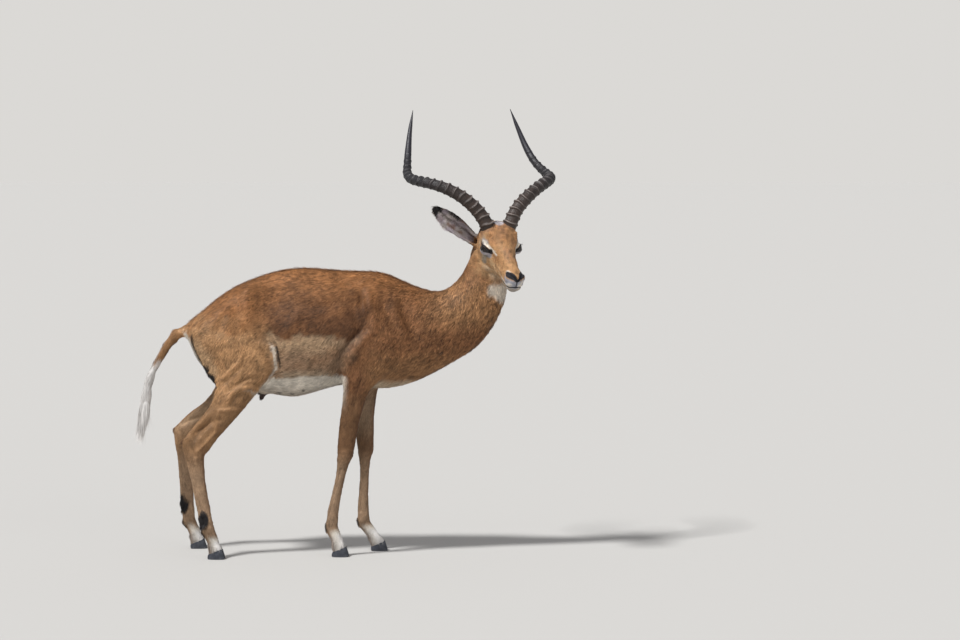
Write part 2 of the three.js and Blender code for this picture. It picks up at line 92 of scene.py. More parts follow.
def ease(low, high, value):
    """0 below `low`, 1 above `high`, and a smooth rise between; `low` may be the greater."""
    t = np.clip((value - low) / (high - low), 0, 1)
    return t * t * (3 - 2 * t)


def line_foot(points, line):
    """How far each point is from a chain of straight stretches, and the nearest place on the chain."""
    line = np.asarray(line, float)
    best = np.full(len(points), np.inf)
    foot = np.array(points, float)
    for a, b in zip(line[:-1], line[1:]):
        t = np.clip((points - a) @ (b - a) / ((b - a) @ (b - a)), 0, 1)
        on = a + t[:, None] * (b - a)
        far = np.linalg.norm(points - on, axis=1)
        foot = np.where((far < best)[:, None], on, foot)
        best = np.minimum(best, far)
    return best, foot


def line_gap(points, line):
    """How far each point is from a chain of straight stretches."""
    return line_foot(points, line)[0]


def oval(points, middle, radii):
    """How far each point is from a middle, as a share of an oval's three radii."""
    return np.linalg.norm((points - middle) / radii, axis=1)


def seen_gap(points, line, way):
    """How far each point is from a chain of stretches, both seen along `way`."""
    way = unit(np.asarray(way, float))
    flat = lambda values: values - np.outer(values @ way, way)
    return line_gap(flat(points), flat(np.asarray(line, float)))


def speckle(points, size, seed=0):
    """Random tones from -1 to 1, one for each ragged cell about `size` across."""
    warped = points / size + 0.45 * np.sin(points[:, [1, 2, 0]] * 2.3 / size)
    cell = np.floor(warped).astype(np.int64) @ (73856093, 19349663, 83492791) + seed * 7907
    return (cell % 100003 * 7919 % 10007) / 5003.0 - 1


def ripple(points, size, seed=0):
    """Smooth, cloudy variation from -1 to 1 with lumps about `size` across."""
    turn = np.random.default_rng(seed).normal(size=(6, 3))
    turn = unit(turn) * (2 * math.pi / (2.4 * size)) * np.linspace(0.7, 1.5, 6)[:, None]
    return np.sin(points @ turn.T + np.arange(6) * 1.7).sum(1) / 3.2


def taken(values, key, width, kind=np.float32):
    """An attribute of all a mesh's points, edges or corners, as rows of `width` numbers."""
    flat = np.empty(len(values) * width, kind)
    values.foreach_get(key, flat)
    return flat.reshape(-1, width)


def added(name, data):
    """A new object in the scene."""
    made = bpy.data.objects.new(name, data)
    bpy.context.scene.collection.objects.link(made)
    return made


def bake_mesh(name, points, faces, colours, look):
    """
    A mesh object in metres from points in millimetres and faces of equally many corners, with one of
    MATERIALS and its colours, one for each point or one for all.
    """
    mesh = bpy.data.meshes.new(name)
    faces = np.asarray(faces, np.int32)
    mesh.vertices.add(len(points))
    mesh.vertices.foreach_set("co", place(points).astype(np.float32).ravel())
    mesh.loops.add(faces.size)
    mesh.loops.foreach_set("vertex_index", faces.ravel())
    mesh.polygons.add(len(faces))
    mesh.polygons.foreach_set("loop_start", np.arange(0, faces.size, faces.shape[1], dtype=np.int32))
    mesh.polygons.foreach_set("use_smooth", np.ones(len(faces), bool))
    mesh.update(calc_edges=True)
    paint(mesh, np.broadcast_to(colours, (len(points), 3)))
    mesh.materials.append(MATERIALS[look])
    return added(name, mesh)


def paint(mesh, colours):
    """Keeps a colour on every point of a mesh, where its material reads it."""
    layer = mesh.color_attributes.new("Marks", "FLOAT_COLOR", "POINT")
    rgba = np.column_stack([np.clip(colours, 0, 1), np.ones(len(colours))])
    layer.data.foreach_set("color", rgba.astype(np.float32).ravel())


# ------------------------------------------------------------------ the skin's shape


def fold_share(co, no, points, width, far=(0, 0)):
    """How near places lie to a fold's line, seen from the side: 1 on the line and less at its two ends."""
    total = np.zeros(len(co))
    for side in (-1, 1):
        shift = np.array(far) * (side > 0)
        line = np.array([(x - shift[0], 0, z + shift[1]) for x, z in points], float)
        outer = ease(0.1, 0.5, no[:, 1] * side) * (co[:, 1] * side > 50)
        share = outer * np.exp(-((seen_gap(co, line, (0, 1, 0)) / width) ** 2))
        first, last = (np.linalg.norm((co - line[end])[:, ::2], axis=1) for end in (0, -1))
        total += share * (0.2 + 0.8 * ease(0, 3 * width, np.minimum(first, last)))
    return total


class Skin:
    """The skin while it is shaped: points and normals in millimetres, with its edges and faces."""

    def __init__(self, mesh):
        self.mesh = mesh
        self.read()

    def read(self):
        self.co = (taken(self.mesh.vertices, "co", 3).astype(float) - ORIGIN) * 1000
        self.edges = taken(self.mesh.edges, "vertices", 2, np.int32)
        self.valence = np.bincount(self.edges.ravel(), minlength=len(self.co))
        self.read_normals()

    def read_normals(self):
        self.no = taken(self.mesh.vertex_normals, "vector", 3).astype(float)

    def write(self):
        self.mesh.vertices.foreach_set("co", place(self.co).astype(np.float32).ravel())
        self.mesh.update()
        self.read_normals()

    def averaged(self, values):
        """Each point's value as the mean of its neighbours'."""
        a, b = self.edges.T
        total = [
            np.bincount(a, values[b, k], len(values)) + np.bincount(b, values[a, k], len(values))
            for k in range(values.shape[1])
        ]
        return np.column_stack(total) / self.valence[:, None]

    def smooth(self, softness, rounds):
        for _ in range(rounds):
            self.co += (self.averaged(self.co) - self.co) * (0.5 * softness)[:, None]
        self.write()

    def bulge(self, at, radius, height):
        """Raises a soft mound, or a hollow with a height under 0; the radius may differ along each axis."""
        share = (((self.co - np.asarray(at, float)) / np.asarray(radius, float)) ** 2).sum(1)
        self.co += self.no * (height * np.exp(-share))[:, None]

    def crease(self, line, width, depth):
        """Presses a groove along a line, or raises a ridge with a depth under 0."""
        self.co -= self.no * (depth * np.exp(-((line_gap(self.co, line) / width) ** 2)))[:, None]

    def trace(self, points, width, depth, far=(0, 0)):
        """
        Presses a groove, or a ridge, along lengths and heights on the outer side of both flanks or legs;
        `far` is how much further back and up the same line runs on the left.
        """
        self.co -= self.no * (depth * fold_share(self.co, self.no, points, width, far))[:, None]

    def refine(self, inside):
        """Splits every face in four where `inside` is true at all its corners."""
        form = bmesh.new()
        form.from_mesh(self.mesh)
        edges = [e for e in form.edges if inside[e.verts[0].index] and inside[e.verts[1].index]]
        bmesh.ops.subdivide_edges(form, edges=edges, cuts=1, use_grid_fill=True)
        form.to_mesh(self.mesh)
        form.free()
        self.read()


VOXEL = 0.0038  # metres
GROWTH = 0.001  # metres


def joined_flesh():
    """One closed mesh over the flesh and the eyeballs: each node is grown a little, so that they join."""
    whole = bmesh.new()
    for name in FLESH + ("eye_right", "eye_left"):
        part = bmesh.new()
        part.from_mesh(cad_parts[name].data)
        bmesh.ops.remove_doubles(part, verts=part.verts, dist=1e-5)
        part.normal_update()
        for vert in part.verts:
            vert.co += vert.normal * GROWTH
        grown = bpy.data.meshes.new("grown")
        part.to_mesh(grown)
        part.free()
        whole.from_mesh(grown)
    mesh = bpy.data.meshes.new("skin")
    whole.to_mesh(mesh)
    whole.free()
    body = added("skin", mesh)
    remesh = body.modifiers.new("remesh", "REMESH")
    remesh.mode = "VOXEL"
    remesh.voxel_size = VOXEL
    evaluated = body.evaluated_get(bpy.context.evaluated_depsgraph_get())
    body.data = bpy.data.meshes.new_from_object(evaluated)
    body.modifiers.clear()
    return body


def keep_largest(mesh):
    """Drops loose bits that lie inside the body."""
    form = bmesh.new()
    form.from_mesh(mesh)
    left = set(form.verts)
    shells = []
    while left:
        stack = [left.pop()]
        shell = list(stack)
        while stack:
            for edge in stack.pop().link_edges:
                for vert in edge.verts:
                    if vert in left:
                        left.remove(vert)
                        stack.append(vert)
                        shell.append(vert)
        shells.append(shell)
    shells.sort(key=len)
    for shell in shells[:-1]:
        bmesh.ops.delete(form, geom=shell, context="VERTS")
    form.to_mesh(mesh)
    form.free()


def near_head(co, reach):
    """True on the head and up to `reach` behind, beside and below it."""
    x, y, z = to_head(co).T
    return (x > -125 - reach) & (x < 190) & (np.abs(y) < 75 + reach) & (z > -95 - reach) & (z < 70)


def head_share(face, rear=(-135, -105), low=(-110, -84)):
    """1 on the head, from places in head axes, fading to 0 over a stretch behind it and one below it."""
    return ease(*rear, face[:, 0]) * ease(*low, face[:, 2])


def on_tail(co, front=-452):
    """True on the tail behind a length."""
    return (co[:, 0] < front) & (np.abs(co[:, 1]) < 45) & (co[:, 2] > 325)


SOLID_HEAD = ((-150, -95), (-110, -80))  # where the shaped head begins, behind and below


def softness(co):
    """How far the facets are smoothed: most on the trunk, least on the face, ears, tail and lower legs."""
    x, z = co[:, 0], co[:, 2]
    amount = np.full(len(co), 1.0)
    amount = np.minimum(amount, 1 - 0.6 * ease(260, 360, x))
    lower = ease(520, 380, z)
    amount = amount * (1 - lower) + 0.14 * lower
    amount = np.minimum(amount, 1 - 0.94 * ease(-425, -460, x) * ease(460, 500, z))
    amount = np.where((x < -480) & (z > 330), 0.06, amount)
    face = to_head(co)
    head = head_share(face, *SOLID_HEAD)
    amount = amount * (1 - head) + 0.06 * head
    return np.where(ear_gap(face) < 55, 0.02, amount)


def ear_gap(face):
    """How far each place, in head axes, is from the nearer ear's line; far off on the head itself."""
    gap = np.minimum(line_gap(face, EARS["right"][:2]), line_gap(face, EARS["left"][:2]))
    return np.where(np.abs(face[:, 1]) > 52, gap, 200)


def coat_depth(co):
    """How far the skin lies inside the solids, which reach to the tips of the coat."""
    face = to_head(co)
    head = head_share(face, *SOLID_HEAD)
    leg = ease(540, 420, co[:, 2])
    depth = 3.2 + 1.2 * ease(150, 260, co[:, 0])
    depth = depth * (1 - leg) + 1.9 * leg
    depth = np.where(on_tail(co), 0, depth)
    depth = depth * (1 - head) + 1.8 * head
    return np.minimum(depth, 0.4 + 1.4 * ease(48, 60, ear_gap(face)))


# Ears in head axes: base, tip and the way that the hollow faces.
EARS = {
    "right": ((-88, -44, -36), (-174, -166, 30), (0.75, -0.35, 0.35)),
    "left": ((-90, 44, -34), (-214, 96, -122), (-0.2, 0.9, 0.3)),
}

EYE_PLACE = (-3, 47, -1)
EYE_RADIUS = 17
EYE_LOOK = (0.40, 0.87, 0.28)
EYE_LONG = (0.8, -0.6, -0.05)
OPENING = (14.8, 8.0, 5.2)  # the eye opening's half length, and its height above and below the middle
LID = 1.5  # how far the lids stand off the eyeball
OPENED = 2.5  # how far inside the eyeball the skin lies where the eye is open


def side_name(side):
    return "left" if side > 0 else "right"


def round_turn(count):
    """Evenly spaced angles once round."""
    return np.linspace(0, 2 * math.pi, count, endpoint=False)


def mirrored(points, side):
    """Points given for the animal's left side, on its left (1) or its right (-1)."""
    return np.asarray(points, float) * (1, side, 1)


def eye_axes(side):
    """Rows: towards the front corner, up across the opening, and the way the eye looks; in head axes."""
    look = unit(np.array(EYE_LOOK))
    along = np.array(EYE_LONG)
    along = unit(along - look * (along @ look))
    up = np.cross(look, along)
    up = up * np.sign(up[2])
    return np.array([along, up, look]) * (1, side, 1)


def opening_level(u, v):
    """1 on the edge of the eye opening, less inside it and more outside."""
    length, above, below = OPENING
    height = np.where(v > 0, above, below)
    return np.hypot(u / length, v / height * (1 + 0.18 * (u / length) ** 2))


def shape_eyes(skin):
    """Draws the skin round each eyeball as lids, and opens it."""
    face = to_head(skin.co)
    for side in (-1, 1):
        centre = mirrored(EYE_PLACE, side)
        rel = face - centre
        far = np.linalg.norm(rel, axis=1)
        near = np.flatnonzero(far < 46)
        along = rel[near] / far[near, None]
        u, v, w = (along @ eye_axes(side).T).T
        level = np.where(w > 0, opening_level(u * EYE_RADIUS, v * EYE_RADIUS), 4)
        angle = np.degrees(np.arccos(np.clip(w, -1, 1)))
        fold = 1.0 * np.exp(-(((level - 1.75) / 0.24) ** 2)) * ease(-0.1, 0.2, v) * ease(1, 0.6, np.abs(u))
        lid = EYE_RADIUS + LID - fold
        hold = ease(108, 60, angle)
        reach = far[near] * (1 - hold) + lid * hold
        reach = np.where(level < 1.06, EYE_RADIUS - OPENED, reach)
        face[near] = centre + along * reach[:, None]
    skin.co = on_head(face)
    skin.write()


NOSTRIL = [(132, 22.5, 9), (142, 20, 11), (152, 13.5, 11), (159.5, 6.5, 9), (163, 1.5, 3)]
NOSTRIL_WAY = (0.72, 0.35, 0.6)  # the way that the nostril faces
MOUTH = [(164, 0, -21), (162, 8, -22), (156, 17, -24), (146, 24, -27), (126, 27, -31), (108, 28, -33)]
PHILTRUM = [(165, 0, 3), (166, 0, -8), (165, 0, -17)]
JAW_EDGE = [
    (122, 19, -43), (90, 20, -52), (56, 22, -60), (26, 26, -66),
    (-4, 31, -70), (-34, 40, -76), (-66, 45, -62),
]
FACE_CREST = [(64, 34, -14), (84, 30, -12), (100, 27, -10)]
CHEEK_FOLD = [(30, 35, 6), (38, 34, -12), (46, 32, -27), (57, 27, -38)]
THROAT_FOLD = [(-96, 44, -20), (-88, 48, -56), (-62, 44, -84), (-30, 30, -92)]
FACE_MOUNDS = [  # on both sides of the face: a place on its left, radius and height
    ((34, 46, 0), 20, -5),  # the face narrows in front of the eye
    ((62, 36, 0), 28, -4),
    ((8, 26, 44), 18, -1.5),
    ((-14, 50, 30), 15, 2.5),  # brow
    ((-10, 58, -24), 13, 2),  # lower rim of the orbit
    ((-46, 52, -46), 26, 3.5),  # cheek muscle
    ((108, 20, 14), 18, -2.5),  # side of the nose, behind the nostril
    ((143, 27, 0), 11, 2.5),  # wing of the nostril
    ((154, 7, 13), 10, 2),
    ((157, 13, -9), 9, 2),  # upper lip
    ((138, 25, -42), 14, -2.5),  # the lower lip is narrower
    ((-48, 37, 42), 24, 7),  # the hair rises round the horn's root
]
MIDDLE_MOUNDS = [
    ((66, 0, 30), 26, 1.6),  # bridge of the nose
    ((-8, 0, 48), 22, 2.5),  # forehead
    ((-62, 0, 52), 17, 3.0),  # crown
    ((150, 0, -46), 15, 2.5),  # chin
]
FACE_GROOVES = [  # in groups on each side: a line on the left, how far it is moved, width and depth
    [(NOSTRIL, (-3, 0, 9), 5, -3), (NOSTRIL[:4], (0, 0, 0), 5, 6), (NOSTRIL, (0, 0, 0), 3.2, 3)],
    [(MOUTH, (0, 0, 7), 5, -1.6), (MOUTH, (-3, 0, -10), 7, -1.6), (MOUTH, (0, 0, 0), 2.4, 5.5)],
    [(JAW_EDGE, (0, 0, 0), 9, -4), (JAW_EDGE, (-8, 0, -18), 9, 3.5)],
    [(FACE_CREST, (0, 0, 0), 7, -2.6), (FACE_CREST, (4, 0, 16), 9, 2.6)],
    [(CHEEK_FOLD, (0, 0, 0), 6, 3.4), (CHEEK_FOLD, (12, 0, 0), 7, -2)],
    [(THROAT_FOLD, (0, 0, 0), 10, 6), (THROAT_FOLD, (-18, 0, 0), 9, -3)],
]


def shape_face(skin):
    """Folds, ridges and openings of the face."""
    for side in (-1, 1):
        for at, radius, height in FACE_MOUNDS:
            skin.bulge(on_head(mirrored(at, side)), radius, height)
    for at, radius, height in MIDDLE_MOUNDS:
        skin.bulge(on_head(at), radius, height)
    for group in FACE_GROOVES:
        for side in (-1, 1):
            for line, shift, width, depth in group:
                skin.crease(on_head(mirrored(line, side) + shift), width, depth)
    skin.crease(on_head(PHILTRUM), 2.0, 3.2)
    skin.write()


def flank(points, out):
    """A line on each flank from lengths and heights; `out` is about how far out the skin is there."""
    return [[(x, side * out, z) for x, z in points] for side in (-1, 1)]


# Folds and veins of the thigh, gaskin and shoulder: lengths and heights of a line, its width and depth; the
# depth also sets painted shade in a hollow and painted light on a ridge.
FOLDS = [
    ([(-324, 527), (-290, 565), (-259, 595), (-250, 622)], 5, -2.6),
    ([(-312, 520), (-278, 556), (-247, 584)], 6, 2.6),
    ([(-279, 515), (-249, 536), (-208, 551)], 7, 4.5),
    ([(-300, 462), (-284, 497), (-259, 513), (-229, 516), (-207, 500)], 8, -4.5),
    ([(-286, 470), (-270, 492), (-250, 500), (-232, 500)], 9, 3),
    ([(-314, 436), (-298, 447), (-268, 450), (-250, 446)], 4, -2.4),
    ([(-157, 646), (-153, 606), (-149, 572), (-172, 534), (-204, 482)], 6, -3.2),
    ([(-148, 640), (-144, 606), (-140, 574)], 5, 3),
    # The shoulder blade's rear edge runs on down the rear edge of the upper arm.
    ([(102, 812), (106, 761), (114, 720), (104, 688), (70, 655), (38, 614), (27, 568), (28, 527)], 9, 5),
    ([(128, 806), (134, 761), (146, 720), (136, 684), (98, 646), (66, 606), (55, 566), (58, 530)], 12, -5),
    ([(176, 640), (160, 600), (172, 560)], 12, 3),
    ([(232, 800), (220, 740), (246, 680), (300, 650)], 10, 3),
    ([(-262, 742), (-244, 690), (-232, 640)], 12, -3),
    ([(-96, 770), (-30, 752), (40, 766), (92, 760)], 14, 2.5),
    ([(48, 560), (66, 520), (70, 480)], 6, 2),
    ([(96, 600), (104, 550), (84, 500), (78, 440)], 6, 2.2),
]
# Tendon to the point of the hock, the hollow before it, and the vein that crosses to the cannon, all also
# drawn as painted shade and painted light.
HOCK_FOLDS = [
    ([(-426, 352), (-392, 394), (-349, 443)], 6, -4.2),
    ([(-402, 352), (-374, 390), (-338, 430)], 7, 5.0),
    ([(-279, 451), (-322, 447), (-332, 418), (-330, 385), (-361, 352), (-390, 323), (-392, 290)], 5, -4.4),
    ([(-370, 330), (-352, 300), (-354, 262)], 6, 3.0),
]
HOCK_SHIFT = (42, 12)  # how much further back and up the left hock is
# The folds' tone is painted shade in their hollows and painted light on their ridges.
TRACE_GAIN = 1.2  # the folds of the trunk are pressed this much deeper than their tone is drawn


TRUNK_RIDGES = [  # lengths and heights of a line, how far out it is, width and depth
    # Shoulder blade: its spine, its rear edge and the hollows behind and before it.
    ([(128, 812), (122, 740), (146, 690), (186, 655)], 75, 16, -7.5),
    ([(92, 812), (84, 745), (98, 690), (70, 645)], 92, 17, 6),
    ([(176, 808), (170, 750), (196, 700)], 75, 12, 5),
    ([(208, 812), (206, 752), (226, 704), (236, 660)], 72, 13, -5),
    ([(108, 822), (132, 840), (176, 846), (226, 837), (256, 818)], 40, 9, -5),
    ([(92, 826), (124, 854), (176, 862), (240, 848)], 26, 9, 3),
    ([(244, 800), (240, 740), (262, 690)], 72, 18, 8),
    # Upper arm: the fold behind its mass, and the muscles' parting.
    ([(132, 664), (142, 612), (136, 556)], 88, 12, 5),
    ([(104, 560), (84, 520), (76, 470)], 70, 9, 3),
    # Barrel: the edge of the ribs, with the hollow between them, the loin and the hip.
    ([(-40, 808), (-84, 730), (-128, 660), (-152, 606)], 105, 18, -3.5),
    ([(-250, 798), (-170, 818), (-60, 824), (40, 818)], 60, 15, -4),
    # Hip and thigh.
    ([(-240, 792), (-222, 720), (-196, 650), (-178, 600)], 88, 17, -8),
    ([(-272, 774), (-264, 700), (-236, 630)], 95, 18, 6),
    ([(-300, 738), (-332, 660), (-330, 590), (-312, 540)], 98, 14, 5),
    ([(-350, 612), (-338, 560), (-330, 520)], 88, 13, 5),
    ([(-372, 700), (-384, 650), (-372, 600), (-352, 555)], 80, 12, -3),
    # Fold of skin from flank to stifle.
    ([(-158, 646), (-151, 606), (-157, 570), (-178, 545)], 82, 7, 8),
    ([(-176, 626), (-172, 590), (-184, 552)], 85, 11, -6),
]
TRUNK_MOUNDS = [  # on both sides: a place on the left, its radii and its height
    ((150, 45, 820), (50, 60, 34), 9),
    ((190, 80, 700), (34, 50, 56), 5),
    ((92, 88, 618), (48, 60, 42), 10),
    ((172, 84, 592), (34, 50, 44), 5),
    ((-60, 110, 690), (110, 70, 90), 3),
    ((-165, 85, 768), (46, 34, 56), -9),
    ((-120, 85, 630), (34, 40, 46), -4),
    ((-228, 62, 802), (32, 24, 38), 8),
    ((-330, 95, 655), (50, 60, 60), 6),
    ((-222, 84, 540), (30, 40, 36), 6),
    ((-392, 55, 690), (24, 24, 40), 5),
]


def shape_trunk(skin):
    """Muscles and bones under the coat of the trunk, shoulders and thighs."""
    for line, out, width, depth in TRUNK_RIDGES:
        for own in flank(line, out):
            skin.crease(own, width, depth)
    for points, width, depth in FOLDS:
        skin.trace(points, width, TRACE_GAIN * depth)
    for rib in range(5):
        front = 44 - 36 * rib
        for own in flank([(front, 780), (front - 26, 690), (front - 30, 600)], 108):
            skin.crease(own, 8, 0.7)
    for side in (-1, 1):
        for at, radius, height in TRUNK_MOUNDS:
            skin.bulge(mirrored(at, side), radius, height)
    skin.crease([(-90, 0, 880), (60, 0, 872)], 12, -1.5)  # along the back
    skin.write()


# Each leg's knee or hock and its fetlock; and for its hoof, length, place across and turn in degrees.
LEGS = {
    "fore_right": {"knee": (48, -64, 302), "fetlock": (8, -63, 98), "foot": (33, -62, -3)},
    "fore_left": {"knee": (106, 70, 302), "fetlock": (100, 72, 96), "foot": (146, 72, 4)},
    "hind_right": {"hock": (-386, -104, 340), "fetlock": (-358, -114, 84), "foot": (-335, -115, -6)},
    "hind_left": {"hock": (-428, 112, 355), "fetlock": (-434, 123, 84), "foot": (-406, 125, 6)},
}
STIFLES = {"hind_right": (-232, -84, 520), "hind_left": (-240, 86, 502)}


def shape_legs(skin):
    """Tendons, bones and joints of the lower legs."""
    for name, leg in LEGS.items():
        fetlock = np.array(leg["fetlock"], float)
        hind = "hock" in leg
        joint = np.array(leg["hock" if hind else "knee"], float)
        if hind:
            stifle = np.array(STIFLES[name], float)
            # The strong tendon to the hock's point stands clear of the shin.
            for face in (-18, 18):
                upper = stifle + (joint - stifle) * 0.5 + (-16, face, -10)
                skin.crease([upper, joint + (-26, face, 34)], 9, 7)
                skin.crease([joint + (6, face, 22), joint + (10, face, -26)], 8, -3.4)
                skin.crease([joint + (-30, face, 10), joint + (-8, face, -30)], 7, 2.4)
            skin.bulge(joint + (-50, 0, 8), 12, 2)
            front, rear, top = 6, -13, joint + (-16, 0, -45)
        else:
            for face in (-16, 16):
                skin.crease([joint + (0, face, 12), joint + (-2, face, -12)], 8, -1.8)
                skin.bulge(joint + (-20, face * 0.5, 0), 9, -1.5)
            skin.bulge(joint + (20, 0, 6), 12, 2.2)
            skin.bulge(joint + (-22, 0, -4), 9, 2)
            front, rear, top = 4, -9, joint + (-2, 0, -36)
        # Groove between the cannon bone and the tendon behind it, on both sides of the leg.
        for face in (-12, 12):
            skin.crease([top + (rear, face, 0), fetlock + (rear, face, 26)], 4, 3.6)
            skin.bulge(fetlock + (-2, face * 1.2, 2), 9, 1.2)
        skin.bulge(fetlock + (-16, 0, -2), 9, 2.0)
        skin.bulge(fetlock + (front + 8, 0, 4), 8, 0.8)
    for points, width, depth in HOCK_FOLDS:
        skin.trace(points, width, depth, HOCK_SHIFT)
    skin.write()


# The tail's bone line; the white hair hangs past its end.
DOCK = [(-396, 0, 686), (-434, 0, 676), (-462, 0, 660), (-484, 0, 634), (-507, 0, 596), (-527, 0, 557),
        (-541, 0, 514), (-548, 0, 470), (-552, 0, 440)]
DOCK_END = 470


def shape_tail(skin):
    """Draws the tail's skin in to the dock, so that the hair has room."""
    tail = np.flatnonzero(on_tail(skin.co))
    points = skin.co[tail]
    foot = line_foot(points, DOCK)[1]
    keep = 1 - 0.5 * ease(-455, -520, points[:, 0]) * ease(640, 560, points[:, 2])
    low = points[:, 2] < DOCK_END
    foot[low] = DOCK[-2] + (foot[low] - DOCK[-2]) * 0.4
    skin.co[tail] = foot + (points - foot) * keep[:, None] * np.where(low, 0.7, 1)[:, None]
    skin.write()


MUZZLE = 96  # where the finely split muzzle begins, along the face


def shaped_skin():
    """The skin's object, and its finished shape: the finest faces are round the eyes and on the muzzle."""
    body = joined_flesh()
    keep_largest(body.data)
    skin = Skin(body.data)
    skin.smooth(softness(skin.co), 70)
    skin.co -= skin.no * coat_depth(skin.co)[:, None]
    skin.write()
    shape_trunk(skin)
    shape_legs(skin)
    skin.smooth(np.where(skin.co[:, 2] > 480, 0.5, 0.2) * (to_head(skin.co)[:, 0] < -120), 4)
    shape_tail(skin)
    skin.refine(near_head(skin.co, 12))
    shape_face(skin)
    skin.refine((eye_gap(skin) < 28) | (to_head(skin.co)[:, 0] > MUZZLE))
    skin.smooth(np.where((eye_gap(skin) < 36) | (to_head(skin.co)[:, 0] > MUZZLE), 0.6, 0), 5)
    shape_eyes(skin)
    skin.smooth(np.where((eye_gap(skin) > EYE_RADIUS + 1) & (eye_gap(skin) < 40), 0.6, 0), 4)
    skin.mesh.polygons.foreach_set("use_smooth", np.ones(len(skin.mesh.polygons), bool))
    return body, skin


def eye_gap(skin):
    """How far each point of the skin is from the nearer eyeball's middle."""
    return np.minimum(*[oval(to_head(skin.co), mirrored(EYE_PLACE, side), 1) for side in (-1, 1)])


# ------------------------------------------------------------------ markings

# Colours are linear light.
RUFOUS = (0.290, 0.128, 0.048)
# Darker rufous of the lower saddle, also laid as painted shade.
SADDLE_LOW_AND_SHADE = (0.150, 0.066, 0.029)
SADDLE_DARK = (0.090, 0.042, 0.024)
TAN = (0.385, 0.212, 0.098)
FLANK = (0.265, 0.165, 0.098)
FLANK_PALE = (0.440, 0.305, 0.180)
# Dark rufous of the shoulder and neck, also laid as painted shade in the face's folds and under the jaw.
SHOULDER_AND_SHADE = (0.188, 0.084, 0.035)
NECK = (0.300, 0.158, 0.070)
FAWN = (0.265, 0.148, 0.072)
WHITE = (0.600, 0.545, 0.465)
TAIL_WHITE = (0.740, 0.715, 0.690)
CREAM = (0.440, 0.340, 0.235)
BLACK = (0.014, 0.012, 0.012)
FACE_TAN = (0.410, 0.228, 0.104)
FOREHEAD = (0.300, 0.150, 0.066)
BRIDGE = (0.230, 0.122, 0.075)
LEG_LOW = (0.330, 0.225, 0.145)
CHEEK_LIT = (0.660, 0.425, 0.215)
NOSE_SKIN = (0.016, 0.015, 0.018)
LIP = (0.360, 0.360, 0.400)
EAR_LILAC = (0.400, 0.345, 0.370)
EAR_STREAK = (0.105, 0.072, 0.062)
GREY = (0.300, 0.290, 0.285)
UNDER_EYE = (0.330, 0.300, 0.245)


class Paint:
    """Colours on a set of points, laid one over the other by masks from 0 to 1."""

    def __init__(self, count, colour):
        self.rgb = np.tile(np.asarray(colour, float), (count, 1))

    def lay(self, colour, mask):
        mask = np.clip(mask, 0, 1)[:, None]
        self.rgb = self.rgb * (1 - mask) + np.asarray(colour) * mask


def band(points, line, width, soft):
    """1 within `width` of a line, fading to 0 over `soft` more."""
    return ease(width + soft, width, line_gap(points, line))


# Length and height along the thigh's front edge, from the stifle up.
THIGH_RIM = [(-205, 478), (-178, 527), (-150, 566), (-153, 600), (-157, 632), (-172, 662)]
FETLOCK_REAR = np.array((-17, 0, -6))  # from a fetlock's middle to the dark spot behind it
HOCK_TIP = np.array((-54, 0, 13))  # from a hock's middle to its point
THROAT_PATCH = (521, -46, 796)  # the middle of the soft white patch
SCROTUM_SKIN = (0.055, 0.035, 0.030)


class Ground:
    """Places and normals on the body, cloudy noises there and the colours laid on them."""

    def __init__(self, co, no):
        self.co, self.no = co, no
        self.cloud, self.blotch, self.fleck = ripple(co, 60, 1), ripple(co, 24, 16), ripple(co, 9, 2)
        self.paint = Paint(len(co), RUFOUS)
        self.lay = self.paint.lay
        # How far each place is before the thigh's front edge.
        self.before_thigh = co[:, 0] - np.interp(co[:, 2], *np.array(THIGH_RIM, float).T[::-1])


